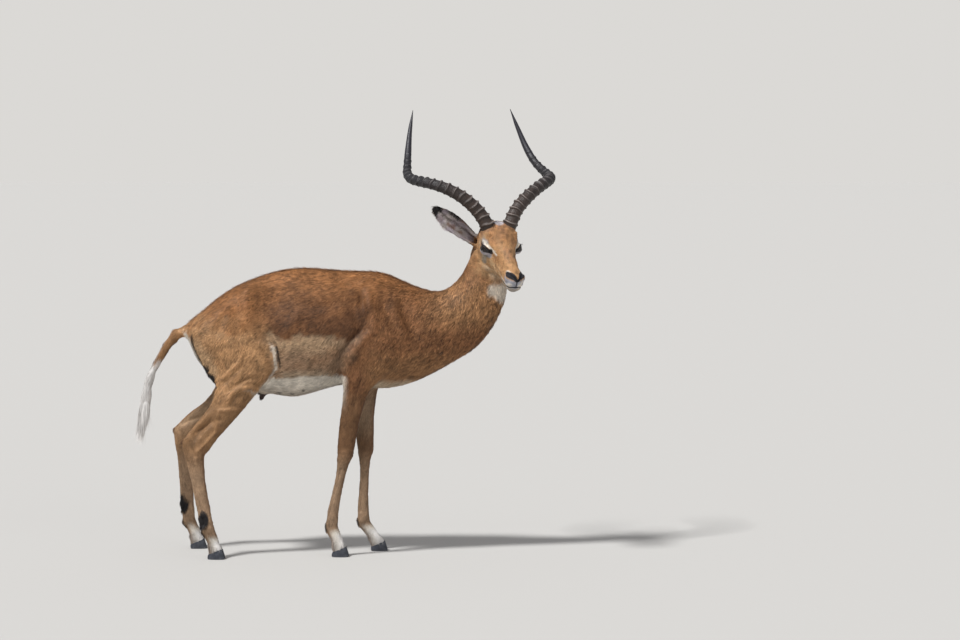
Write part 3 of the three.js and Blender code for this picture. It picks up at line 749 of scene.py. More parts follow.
def saddle_marks(on):
    """Rufous saddle, darker downwards partly in painted shade, over tan flanks paler at the top partly in
    painted light, and a white belly.
    """
    x, y, z = on.co.T
    nz, lay, blotch, fleck = on.no[:, 2], on.lay, on.blotch, on.fleck
    edge = 666 + 9 * ripple(on.co, 34, 3) + 6 * ripple(on.co, 90, 19) + 30 * ease(-230, -420, x)
    behind = ease(98, 10, x - 0.3 * (z - 600) + 14 * blotch)
    # The saddle darkens downwards: partly its own darker hair, partly painted shade.
    lay(SADDLE_LOW_AND_SHADE, ease(850, 715, z + 14 * blotch) * ease(-250, -150, x) * ease(280, 180, x) * 0.95)
    flank_side = ease(edge + 11, edge - 11, z + 6 * fleck) * behind
    lay(FLANK, flank_side)
    # Paler towards the flank's top: partly its own pale fawn, partly painted light.
    lay(FLANK_PALE, 0.62 * flank_side * ease(600, 662, z + 10 * on.cloud))
    lay(RUFOUS, 0.16 * behind * ease(0.2, 0.8, blotch) * ease(560, 600, z))
    haunch = ease(6, -26, on.before_thigh) * ease(700, 620, z) + ease(-140, -215, x) * ease(620, 700, z)
    lay(TAN, haunch * ease(edge + 95, edge - 45, z + 12 * blotch))
    lay(RUFOUS, 0.35 * haunch * ease(-380, -430, x) * ease(700, 640, z))
    before = ease(40, 100, x - 0.45 * (z - 600) + 14 * blotch)
    lay(SHOULDER_AND_SHADE, before * ease(860, 740, z))
    # Painted shade low behind the shoulder, by the elbow.
    lay(SADDLE_LOW_AND_SHADE, 0.4 * before * ease(600, 560, z) * ease(130, 90, x))
    # Painted light bounced up from the ground: lighter tan low on the chest.
    lay(NECK, 0.6 * ease(650, 570, z + 10 * blotch) * ease(90, 150, x))
    spine = ease(16, 5, np.abs(y)) * ease(800, 830, z) * ease(220, 60, x) * ease(-330, -250, x)
    lay(SADDLE_DARK, 0.15 * spine)
    belly = 548 + 0.03 * x + 5 * ripple(on.co, 25, 4)
    under = ease(belly + 5, belly - 5, z) * ease(-4, 6, on.before_thigh) * ease(66, 40, x)
    lay(WHITE, under)
    lay(CREAM, 0.6 * ease(belly + 26, belly + 2, z) * ease(-150, -120, x) * ease(30, 0, x) * (1 - under))
    lay(WHITE, ease(-0.35, -0.75, nz) * ease(560, 520, z) * ease(-260, -200, x) * ease(70, 50, x))
    lay(CREAM, ease(-0.5, -0.85, nz) * ease(545, 520, z) * ease(40, 80, x) * ease(290, 230, x))


def leg_marks(on):
    """Legs: tan outside and a little paler high up inside, with painted shade on the forelegs and on the
    legs' fronts.
    """
    x, y, z = on.co.T
    leg = ease(520, 420, z)
    fore = leg * ease(-100, 0, x)
    on.lay(FAWN, leg)
    on.lay(TAN, 0.5 * leg * ease(300, 380, z) * (x < -150))
    on.lay(SHOULDER_AND_SHADE, 0.55 * fore * ease(250, 340, z))
    # Painted shade: the forelegs are darkened most, the hind legs a little.
    on.paint.rgb *= (1 - 0.35 * fore - 0.14 * leg * (1 - fore))[:, None]
    on.lay(LEG_LOW, 0.65 * ease(340, 240, z))
    inner = ease(0.2, 0.8, -on.no[:, 1] * np.sign(y)) * ease(600, 500, z)
    on.lay(CREAM, 0.35 * inner * ease(300, 420, z))
    # Painted shade on the forward-facing sides of the legs.
    on.lay(SADDLE_LOW_AND_SHADE, 0.4 * ease(0.2, 0.9, on.no[:, 0]) * leg * ease(130, 200, z))


def rump_marks(on):
    """White rump and inner thighs, between the black stripes down the buttocks."""
    x, y, z = on.co.T
    out, nx, lay, blotch, fleck = np.abs(y), on.no[:, 0], on.lay, on.blotch, on.fleck
    rear = ease(-0.35, -0.75, nx) * ease(74, 52, out + 5 * blotch)
    rear = rear * ease(-330, -370, x) * ease(500, 540, z + 8 * blotch)
    lay(WHITE, rear * ease(690, 668, z + out * out / 90 + 5 * fleck))
    between = ease(54, 36, out + 5 * blotch) * ease(0.1, -0.4, nx) * ease(-290, -330, x)
    lay(WHITE, 0.9 * between * ease(560, 535, z) * ease(380, 470, z))
    stripe = np.abs(out - np.interp(z, (500, 560, 640, 690), (93, 82, 68, 56)))
    on_rump = ease(0.25, -0.1, nx) * ease(-300, -330, x) * (x > -446) * ease(506, 516, z) * ease(676, 664, z)
    pale = seen_gap(on.co, [(-388, 0, 628), (-346, 0, 562)], (0, 1, 0))
    lay(FLANK_PALE, 0.5 * ease(38, 12, pale + 6 * blotch) * (out > 55))
    lay(BLACK, ease(10, 7.5, stripe + 2 * fleck) * on_rump)
    white_edge = 0.75 * ease(6.5, 2.5, np.abs(on.before_thigh + 4)) * (out > 50)
    lay(WHITE, white_edge * ease(655, 630, z) * ease(470, 500, z))
    # Painted shade: a black line in the crease of the flank's fold.
    lay(BLACK, 0.95 * fold_line(on.co, 2.2, 3))


def foot_marks(on):
    """White pasterns, and dark spots: behind the fetlocks, on the hind glands and on the hocks' points."""
    _, y, z = on.co.T
    nx = on.no[:, 0]
    for leg in LEGS.values():
        fetlock = np.array(leg["fetlock"], float)
        own = ease(44, 34, np.abs(y - fetlock[1])) * (z < 160)
        low = fetlock[2] - z
        on.lay(WHITE, own * ease(6, 26, low) * ease(-0.7, 0.1, nx))
        on.lay(TAIL_WHITE, own * ease(16, 34, low) * ease(-0.3, 0.4, nx))
        on.lay(GREY, own * ease(26, 40, low) * 0.5 * ease(0.3, -0.3, nx))
        back = oval(on.co, fetlock + FETLOCK_REAR, (7, 9, 11))
        on.lay(BLACK, ease(1.35, 0.95, back + 0.15 * on.fleck) * 0.95)
        if "hock" in leg:
            on.lay(BLACK, ease(1.15, 0.95, gland_level(on.co, leg) + 0.12 * on.fleck))
            tip = oval(on.co, leg["hock"] + HOCK_TIP, 1)
            on.lay(SADDLE_DARK, 0.8 * ease(15, 7, tip))


def tail_marks(on):
    """Tail: tan with a dark line, and white long hair towards the tip; and the scrotum's dark skin."""
    x, y, z = on.co.T
    out, nx = np.abs(y), on.no[:, 0]
    tail = ease(-446, -456, x) * (out < 45)
    on.lay(NECK, tail)
    on.lay(SADDLE_DARK, 0.7 * tail * ease(9, 4, out) * ease(0.0, 0.5, nx) * ease(590, 620, z))
    on.lay(TAIL_WHITE, tail * ease(606, 578, z + 6 * ripple(on.co, 12, 5)))
    on.lay(TAIL_WHITE, tail * ease(-0.5, -0.9, nx) * ease(690, 640, z) * 0.35)
    scrotum = oval(on.co, SCROTUM_PLACE, (19, 20, 24))
    on.lay(SCROTUM_SKIN, ease(1.15, 0.9, scrotum) * ease(500, 488, z))


def neck_marks(on):
    """Neck: golden tan over rufous, with a soft white patch at the throat; and small dark spots below."""
    x, y, z = on.co.T
    neck = ease(250, 380, x) * ease(660, 740, z)
    on.lay(NECK, 0.75 * neck)
    on.lay(SHOULDER_AND_SHADE, 0.8 * neck * ease(815, 860, z + 20 * on.blotch))
    throat = oval(on.co, THROAT_PATCH, (38, 42, 25)) + 0.16 * on.blotch + 0.12 * on.fleck
    on.lay(WHITE, ease(1.35, 0.7, throat) * 0.85)
    for px, pz in ((-142, 490), (-104, 488), (-70, 500), (340, 617)):
        on.lay(BLACK, 0.8 * ease(5, 3, np.hypot(x - px, z - pz)) * (y < -20))


def body_marks(co, no):
    """Colours on the body: its markings, painted shade and painted light along its folds, and the unevenness
    of the coat.
    """
    x, _, z = co.T
    on = Ground(co, no)
    for lay_part in (saddle_marks, leg_marks, rump_marks, foot_marks, tail_marks, neck_marks):
        lay_part(on)
    # Painted shade in the folds' hollows and painted light on their ridges, laid over the colours.
    tone = sum(depth * fold_share(co, no, points, width) for points, width, depth in FOLDS)
    for points, width, depth in HOCK_FOLDS:
        tone = tone + depth * fold_share(co, no, points, width, HOCK_SHIFT)
    rgb = on.paint.rgb * (1 - 0.045 * np.clip(tone, -6, 6))[:, None]
    # Darker band low on the saddle above the flank's edge: partly its own darker hair, partly painted shade.
    lower = ease(750, 690, z) * ease(660, 676, z) * ease(-200, -120, x) * ease(150, 90, x)
    rgb *= (1 - 0.2 * lower)[:, None]
    return rgb * (1 + 0.10 * on.cloud + 0.09 * on.blotch + 0.10 * on.fleck)[:, None]


def fold_line(co, width, soft):
    """The black line down the fold where each flank meets the thigh, thinner towards its foot: painted shade
    in the fold's crease.
    """
    gap = line_gap(co * (1, 0, 1), [(-152, 0, 634), (-147, 0, 606), (-141, 0, 572)])
    gap = gap + 1.6 * ease(620, 570, co[:, 2])
    return ease(width + soft, width, gap) * (np.abs(co[:, 1]) > 55)


def gland_level(co, leg):
    """Under 1 on the tuft of black hair over a hind fetlock, on the rear of the cannon."""
    rise = 38 if leg is LEGS["hind_right"] else 58
    return oval(co, leg["fetlock"] + np.array((-15, 0, rise)), (15, 24, 26))


BROW = [(-22, 56, 17), (-8, 52, 19), (2, 47.5, 17), (13, 39.5, 12), (28, 34, 10.5), (43, 30.5, 9.5)]
HAIRLINE = [  # in front of, outside and behind the horn's base
    (-78, 49, 8), (-56, 50, 36), (-44, 44, 45), (-50, 34, 51), (-57, 23, 53), (-72, 10, 50), (-80, 0, 47),
]


def face_marks(face, normal):
    """Colours on the head, from places and normals in head axes."""
    x, y, z = face.T
    out = np.abs(y)
    sym = np.column_stack([x, out, z])
    fleck = ripple(face, 6, 6)
    patch = ripple(face, 15, 7)
    paint = Paint(len(face), FACE_TAN)
    lay = paint.lay
    lay(CREAM, 0.5 * band(sym, [(-24, 55, 26), (-34, 54, 12), (-40, 52, -6)], 5, 9))
    # Painted light on the lower cheek, over its own golden tan.
    lay(CHEEK_LIT, 0.9 * ease(0, -26, z) * ease(-40, 0, x) * ease(124, 100, x))
    lay(CREAM, 0.3 * ease(-6, -30, z) * ease(14, 24, out) * ease(10, 40, x) * ease(120, 90, x))
    lay(SHOULDER_AND_SHADE, 0.6 * ease(-50, -90, x))
    lay(FOREHEAD, ease(36, 8, x) * ease(52, 34, out) * ease(16, 30, z) * (0.75 + 0.25 * patch))
    # Dark patches down the bridge of the nose and on the forehead.
    middle = ease(22, 8, out) * ease(0.3, 0.7, normal[:, 2])
    lay(BRIDGE, middle * ease(34, 52, x) * ease(100, 76, x) * (0.55 + 0.4 * patch))
    lay(BRIDGE, middle * ease(10, -12, x) * (0.35 + 0.4 * patch))
    lay(FOREHEAD, 0.65 * ease(0.1, 0.8, fleck + 0.6 * patch))
    # Painted shade in the cheek's groove.
    lay(SHOULDER_AND_SHADE, 0.45 * band(sym, np.array(CHEEK_FOLD) + (6, 0, 0), 4, 9))
    # Painted highlight along the jaw's lower edge.
    lay(CREAM, 0.65 * band(sym, JAW_EDGE[:6], 5, 9))
    # Painted shade in the fold behind the nostril.
    lay(SHOULDER_AND_SHADE, 0.4 * band(sym, [(92, 24, -4), (104, 25, -22), (116, 25, -34)], 4, 7))
    lay(RUFOUS, 0.35 * band(sym, [(48, 31, 2), (62, 30, -12), (70, 29, -24)], 8, 8))
    # Painted shade under the jaw.
    lay(SHOULDER_AND_SHADE, 0.5 * ease(-60, -76, z + 0.25 * (x + 20)) * ease(60, 20, x) * ease(-80, -50, x))
    # Pale streak over the eye and a blue-grey painted reflection under it, with dark lids and corners; the
    # black over the opening reaches up as painted shadow under the brow.
    over = seen_gap(sym, BROW, (0.3, 0.75, 0.55))
    near_brow = line_gap(sym, BROW) < 16
    wide = np.interp(x, (-22, -8, 8, 44), (3.0, 5.2, 3.8, 2.4))
    lay(LIP, 0.75 * ease(wide + 6, wide + 1, over) * near_brow * ease(6, -6, x))
    lay(WHITE, 0.95 * ease(wide + 1.2, wide - 0.6, over) * near_brow)
    # A blue-grey painted reflection on the lower lid.
    below = seen_gap(sym, [(-8, 56, -12), (6, 50, -13), (16, 40, -10)], (0.3, 0.9, 0.1))
    lay(LIP, 0.9 * ease(12, 7, below) * (line_gap(sym, [(-8, 56, -12), (16, 40, -10)]) < 24))
    lay(UNDER_EYE, 0.9 * band(sym, [(0, 49, -22), (-4, 45, -36), (-10, 43, -50)], 6, 8))
    lay(CREAM, 0.6 * band(sym, [(-18, 52, -18), (-16, 47, -36), (-16, 43, -52)], 2, 4))
    rel = sym - EYE_PLACE
    axes = eye_axes(1)
    level = np.where(rel @ axes[2] > 0, opening_level(*(unit(rel) @ axes[:2].T * EYE_RADIUS).T), 9)
    for tip, thick in (((26, 1), 2.6), ((-27, 3), 2.4)):
        corner = [(np.sign(tip[0]) * 12, 0, 0), (tip[0], tip[1], 0)]
        across = line_gap(rel @ axes.T * (1, 1, 0), corner)
        near = (rel @ axes[2] > -16) * (oval(rel, 0, 1) < 40)
        lay(BLACK, ease(thick + 2, thick, across) * near)
    # Black round the opening: the dark lid margins, and above them painted shadow under the brow.
    reach = 1.14 + 0.26 * ease(-4, 3, rel @ axes[1]) + 0.25 * ease(0, 6, rel @ axes[1])
    lay(BLACK, ease(reach, reach - 0.22, level) * (oval(rel, 0, 1) < 28))
    # Thin black hair line round the horns and a grey tuft between them.
    lay(BRIDGE, 0.5 * ease(30, 25, line_gap(sym, HORN_LINE[:3])) * ease(8, 20, z))
    lay(BLACK, band(sym, HAIRLINE, 4.4, 2.6))
    lay(LIP, 0.8 * ease(1.2, 0.8, oval(sym, (-62, 0, 52), (15, 15, 22))))
    # Muzzle: tan above, grey white lips and chin, black nostrils and mouth.
    lips = ease(122, 142, x + 0.3 * z) * ease(6, -2, z)
    lay(LIP, lips)
    lay(WHITE, lips * ease(0.0, 0.8, patch + 0.4 * fleck) * 0.8)
    lay(WHITE, 0.7 * band(sym, np.array(MOUTH[2:]) + (0, 0, 6), 3, 5))
    chin = ease(-24, -30, z) * ease(84, 124, x)
    lay(CREAM, 0.8 * chin)
    lay(GREY, 0.5 * chin * ease(130, 150, x))
    slit = seen_gap(sym, NOSTRIL, NOSTRIL_WAY)
    near_nose = line_gap(sym, NOSTRIL) < 22
    thick = np.interp(x, (130, 140, 150, 158, 164), (5.5, 9.5, 9.5, 7.5, 4.0))
    lay(WHITE, 0.75 * ease(thick + 5, thick + 2, slit) * near_nose * ease(2, 8, z) * ease(140, 128, x))
    lay(NOSE_SKIN, ease(thick + 0.8, thick - 0.6, slit) * near_nose)
    lay(NOSE_SKIN, ease(2.6, 1.4, out) * ease(148, 152, x) * ease(-23, -20, z) * ease(5, 2, z))
    lip_line = np.interp(x, (106, 126, 146, 156, 164), (-33, -31, -27, -24, -21.5))
    lay(NOSE_SKIN, ease(3.0, 1.3, np.abs(z - lip_line)) * ease(104, 112, x))
    # Throat.
    lay(CREAM, 0.7 * ease(-70, -86, z) * ease(-60, -20, x) * ease(30, 16, out))
    top = ease(0.2, 0.7, normal[:, 2])
    paint.rgb *= (1 + (0.14 + 0.12 * top) * patch + (0.14 + 0.14 * top) * fleck)[:, None]
    return paint.rgb


EAR_LENGTH = 168


def ear_places(face, name):
    """
    For each place, whether it is on an ear's side of the head, its share of the way up the ear, how far it is
    ahead of the ear's line and across it; and the ways up the ear, out of its hollow and across it.
    """
    base, tip, facing = (np.array(v, float) for v in EARS[name])
    up = unit(tip - base)
    front = unit(facing - up * (facing @ up))
    across = np.cross(up, front)
    rel = face - base
    own = (np.abs(face[:, 1]) > 50) & (np.sign(face[:, 1]) == (1 if name == "left" else -1))
    return own, rel @ up / EAR_LENGTH, rel @ front, rel @ across, (up, front, across)


def ear_marks(rgb, face, normal):
    """Lays an ear's colours over the head's: white and dark streaks inside, tan behind, and a black tip."""
    for name in EARS:
        own, share, ahead, sideways, (_, front, across) = ear_places(face, name)
        far = np.hypot(ahead, sideways)
        bottom = (share > -0.04) & (share <= 0.06) & (normal @ front > 0.3) & (far < 17)
        on = own & (bottom | ((share > 0.06) & (share < 1.1) & (far < 44)))
        paint = Paint(len(face), TAN)
        lay = paint.lay
        inside = ease(-0.05, 0.3, normal @ front)
        rim = ease(10, 17, np.abs(sideways) / (0.35 + 0.75 * np.sin(np.clip(share, 0.02, 1) * 2.9)))
        streak = ease(0.0, 0.6, np.sin(sideways / 3.4 + 1.3 * ripple(face, 26, 8)))
        lay(EAR_LILAC, inside)
        lay(WHITE, inside * 0.45 * ease(0.1, 0.7, ripple(face, 18, 22) + 0.3))
        lay(EAR_STREAK, inside * streak * 0.75 * (1 - 0.8 * rim))
        warm = ease(0.1, 0.7, ripple(face, 12, 14)) * (1 - rim)
        lay(SHOULDER_AND_SHADE, inside * 0.6 * warm * ease(0.9, 0.6, share))
        upper = ease(19, 23, sideways * across[2] / abs(across[2]))
        lay(SHOULDER_AND_SHADE, 0.8 * upper * ease(0.55, 0.35, share))
        lay(BLACK, ease(0.40, 0.55, share) * upper * 0.9)
        lay(BLACK, ease(0.82, 0.88, share + 0.03 * ripple(face, 10, 15)))
        lay(FOREHEAD, 0.4 * ease(-0.1, -0.6, normal @ front) * ease(0.2, 0.7, share))
        paint.rgb *= (1 + 0.08 * ripple(face, 8, 9))[:, None]
        rgb[on] = paint.rgb[on]
    return rgb


def marks(co, no):
    """The coat's colour at points on the skin, from their places and normals."""
    face, normal = to_head(co), no @ HEAD_TURN
    head = ease(-128, -104, face[:, 0]) * ease(-104, -84, face[:, 2]) * (np.abs(face[:, 1]) < 74)
    rgb = body_marks(co, no) * (1 - head[:, None]) + face_marks(face, normal) * head[:, None]
    return np.clip(ear_marks(rgb, face, normal), 0.004, 1)


# ------------------------------------------------------------------ how the coat lies

LIE = [  # length and height of a place, and the way that the hair points there
    ((180, 840), (-1, -0.2)), ((-90, 860), (-1, -0.12)), ((-330, 770), (-0.85, -0.5)),
    ((-90, 650), (-0.92, -0.4)), ((-90, 500), (-1, 0)), ((130, 690), (-0.5, -0.85)),
    ((90, 570), (-0.3, -1)), ((40, 330), (-0.05, -1)), ((60, 100), (0.1, -1)),
    ((-290, 620), (-0.4, -0.9)), ((-330, 440), (-0.5, -0.85)), ((-380, 200), (0, -1)),
    ((-350, 60), (0.3, -1)), ((420, 790), (-0.35, -0.95)), ((500, 860), (-0.1, -1)),
    ((330, 700), (-0.55, -0.8)), ((280, 560), (-0.7, -0.7)), ((-440, 690), (-0.95, -0.3)),
    ((-500, 620), (-0.5, -0.85)), ((-550, 450), (-0.1, -1)),
]


def lie(co, no):
    """The way the hair lies at each point, along the skin."""
    places = np.array([p for p, _ in LIE], float)
    ways = unit(np.array([w for _, w in LIE], float))
    far = np.linalg.norm(co[:, None, [0, 2]] - places, axis=2)
    weight = 1 / (far + 25) ** 3
    flat = weight @ ways / weight.sum(1)[:, None]
    way = np.column_stack([flat[:, 0], 0.15 * np.sign(co[:, 1]) * ease(700, 860, co[:, 2]), flat[:, 1]])
    face = to_head(co)
    head = head_share(face)[:, None]
    facial = np.column_stack([
        np.full(len(face), -1.0),
        0.25 * np.sign(face[:, 1]) * ease(10, 40, np.abs(face[:, 1])),
        np.where(face[:, 2] > 0, 0.15, -0.25),
    ])
    for name in EARS:
        own, share, ahead, sideways, (up, _, _) = ear_places(face, name)
        facial[own & (share > 0.02) & (np.hypot(ahead, sideways) < 46)] = up
    way = way * (1 - head) + (unit(facial) @ HEAD_TURN.T) * head
    way -= no * (way * no).sum(1)[:, None]
    return unit(way)


# ------------------------------------------------------------------ tufts

PATCH = 0.003  # a tuft's share of the UV map, across
PIECE_LIMIT = 64000  # tufts in one piece, three triangles each


def unwrap(co):
    """A map of the skin: each region is rolled off its own axis on to its own tile."""
    x, y, z = co.T
    face = to_head(co)
    head = (face[:, 0] > -125) & (face[:, 2] > -100)
    leg = (z < 500) & ~head & (x > -520)
    turn = np.arctan2(y, z - 680) / (2 * math.pi) + 0.5
    uv = np.column_stack([0.02 + 0.58 * turn, 0.02 + 0.5 * (x + 450) / 1000])
    column = (y > 0).astype(int) + 2 * (x > -150)
    middle = np.array([(-380, -106), (-425, 116), (40, -64), (110, 70)], float)[column]
    round_leg = np.arctan2(y - middle[:, 1], x - middle[:, 0]) / (2 * math.pi) + 0.5
    on_leg = np.column_stack([0.62 + 0.09 * (column + round_leg), 0.02 + 0.5 * z / 500])
    uv[leg] = on_leg[leg]
    around = np.arctan2(face[:, 1], face[:, 2] + 15) / (2 * math.pi) + 0.5
    on_face = np.column_stack([0.02 + 0.55 * around, 0.56 + 0.4 * (face[:, 0] + 230) / 400])
    uv[head] = on_face[head]
    tail = on_tail(co, -456)
    tail_uv = np.column_stack([0.7 + 0.1 * (np.arctan2(y, x + 500) / math.pi), 0.6 + 0.35 * (z - 325) / 380])
    uv[tail] = tail_uv[tail]
    return np.clip(uv, 0.004, 0.996)


class Coat:
    """Places on the finished skin where tufts may stand."""

    def __init__(self, skin):
        skin.mesh.calc_loop_triangles()
        self.tris = taken(skin.mesh.loop_triangles, "vertices", 3, np.int32)
        self.co, self.no = skin.co, skin.no
        self.rgb = marks(self.co, self.no)
        self.way = lie(self.co, self.no)
        self.uv = unwrap(self.co)
        a, b, c = (self.co[self.tris[:, k]] for k in range(3))
        self.area = np.linalg.norm(np.cross(b - a, c - a), axis=1) / 2

    def roots(self, share, spacing, seed):
        """Scattered roots, about `spacing` apart where `share` is 1 and fewer where it is less."""
        rng = np.random.default_rng(seed)
        weight = self.area * np.clip(share[self.tris].mean(1), 0, 1)
        count = int(weight.sum() / spacing**2)
        pick = rng.choice(len(weight), count, p=weight / weight.sum())
        a, b = rng.random((2, count))
        flip = a + b > 1
        a[flip], b[flip] = 1 - a[flip], 1 - b[flip]
        mix = np.column_stack([1 - a - b, a, b])
        tri = self.tris[pick]
        at = lambda values: (values[tri] * mix[:, :, None]).sum(1)
        return {
            "co": at(self.co), "no": unit(at(self.no)), "way": unit(at(self.way)), "rgb": at(self.rgb),
            "uv": self.uv[tri[:, 0]], "rng": rng,
        }


def grow(name, roots, length, width, rise, tip_rise, spread, tint, clump, pale=1.0):
    """
    Tufts on roots: each is a flat blade of three triangles that leaves the skin at its root, arches and comes
    down towards its tip. `length` and `width` are millimetres, one number or one for each tuft; `rise` and
    `tip_rise` are how far the middle and the tip stand off, as shares of the length. Tufts lean to the side
    by about `spread` and differ in tone by about `tint`, in clumps about `clump` across; `pale` lightens all.
    """
    rng, co, no, way = roots["rng"], roots["co"], roots["no"], roots["way"]
    count = len(co)
    length = np.broadcast_to(length, count) * rng.uniform(0.7, 1.25, count)
    width = np.broadcast_to(width, count) * rng.uniform(0.75, 1.25, count)
    side = np.cross(way, no)
    locks = co - way * (0.6 * (co * way).sum(1))[:, None]
    lean = rng.normal(size=count) * 0.5 + 0.7 * ripple(co, clump, 11) + 0.7 * speckle(locks, clump * 0.6, 3)
    way = unit(way + side * (spread * lean)[:, None])
    side = unit(np.cross(way, no))
    lift = (1 + 0.5 * ripple(co, clump * 0.8, 12)) * rng.uniform(0.6, 1.4, count)
    base = co - no * 0.5
    middle = base + way * (0.5 * length)[:, None] + no * (rise * lift * length + 0.5)[:, None]
    tip = base + way * length[:, None] + no * (tip_rise * lift * length + 0.4)[:, None]
    half = side * (width / 2)[:, None]
    blades = np.stack([base - half, base + half, middle - half * 0.85, middle + half * 0.85, tip], axis=1)
    shade = rng.normal(size=count) * 0.5 + 0.3 * ripple(co, clump, 13) + 0.9 * speckle(locks, clump * 0.46, 5)
    tint = tint * (1 - 0.6 * ease(0.32, 0.5, roots["rgb"][:, 1]))
    shade = np.maximum(1 + tint * shade, 0.3)
    rgb = roots["rgb"] * (shade * pale)[:, None]
    corner = np.array([(-1, -1), (1, -1), (-1, 0.2), (1, 0.2), (0, 1)]) * PATCH / 2
    uv = roots["uv"][:, None, :] + corner
    faces = np.array([(0, 1, 3), (0, 3, 2), (2, 3, 4)])
    pieces = math.ceil(count / PIECE_LIMIT)
    for part in range(pieces):
        own = slice(part, count, pieces)
        points = blades[own].reshape(-1, 3)
        number = len(points) // 5
        index = (np.arange(number) * 5)[:, None, None] + faces
        tuft_rgb = np.repeat(rgb[own], 5, axis=0)
        tuft_rgb[4::5] *= 1.08
        own_name = name if pieces == 1 else f"{name}_{part + 1}"
        piece = bake_mesh(own_name, points, index.reshape(-1, 3), tuft_rgb, "hair")
        map_uv(piece.data, uv[own].reshape(-1, 2))
        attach(piece, "root")


def map_uv(mesh, uv, name="OFBake"):
    """A UV map from a place for each point; the coat's is OFBake."""
    corners = taken(mesh.loops, "vertex_index", 1, np.int32)[:, 0]
    layer = mesh.uv_layers.new(name=name)
    layer.data.foreach_set("uv", np.asarray(uv)[corners].astype(np.float32).ravel())


# ------------------------------------------------------------------ horns

# The left horn's line in head axes, from inside the skull to the tip.
HORN_LINE = [
    (-44, 25, 12), (-59, 36, 43), (-94, 62, 74), (-124, 101, 99), (-155, 143, 110), (-188, 180, 106),
    (-226, 206, 89), (-267, 221, 70), (-313, 218, 57), (-362, 204, 58), (-413, 190, 74), (-467, 175, 104),
    (-522, 157, 143),
]
HORN_SHARES = (0, 0.2, 0.4, 0.6, 0.78, 0.92, 1)
HORN_RADII = (23, 20.5, 17, 14, 11, 6, 0.8)
HORN_RINGS = 19
RINGED_SHARE = 0.72
HORN_SIDES = 40
HORN_STEPS = 460
RIDGE_HEIGHT = 4.6  # where the horn is 17 mm in radius
HORN_ROOT = (0.034, 0.019, 0.013)
HORN_MIDDLE = (0.006, 0.005, 0.007)
# Painted highlight on the horn rings' crests.
HORN_CREST_HIGHLIGHT = (0.270, 0.240, 0.225)  # added on the rings' crests
HORN_TIP = (0.013, 0.012, 0.019)


def smooth_line(points, count):
    """Evenly spaced places on a centripetal Catmull-Rom curve through the points."""
    points = np.asarray(points, float)
    points = np.vstack([2 * points[0] - points[1], points, 2 * points[-1] - points[-2]])
    dense = []
    for p0, p1, p2, p3 in zip(points, points[1:], points[2:], points[3:]):
        d0, d1, d2 = (np.linalg.norm(b - a) ** 0.5 for a, b in ((p0, p1), (p1, p2), (p2, p3)))
        m1 = ((p1 - p0) / d0 - (p2 - p0) / (d0 + d1) + (p2 - p1) / d1) * d1
        m2 = ((p2 - p1) / d1 - (p3 - p1) / (d1 + d2) + (p3 - p2) / d2) * d1
        t = np.linspace(0, 1, 60, endpoint=False)[:, None]
        dense.append(
            (2 * t**3 - 3 * t**2 + 1) * p1 + (t**3 - 2 * t**2 + t) * m1
            + (3 * t**2 - 2 * t**3) * p2 + (t**3 - t**2) * m2
        )
    dense = np.vstack(dense + [points[-2:-1]])
    length = np.concatenate([[0], np.cumsum(np.linalg.norm(np.diff(dense, axis=0), axis=1))])
    even = np.linspace(0, length[-1], count)
    return np.column_stack([np.interp(even, length, dense[:, k]) for k in range(3)])


def tube_faces(rings, sides):
    """Quads between rings of equally many points."""
    row = np.arange(rings - 1)[:, None] * sides
    k = np.arange(sides)
    after = (k + 1) % sides
    return np.stack([row + k, row + after, row + sides + after, row + sides + k], axis=-1).reshape(-1, 4)


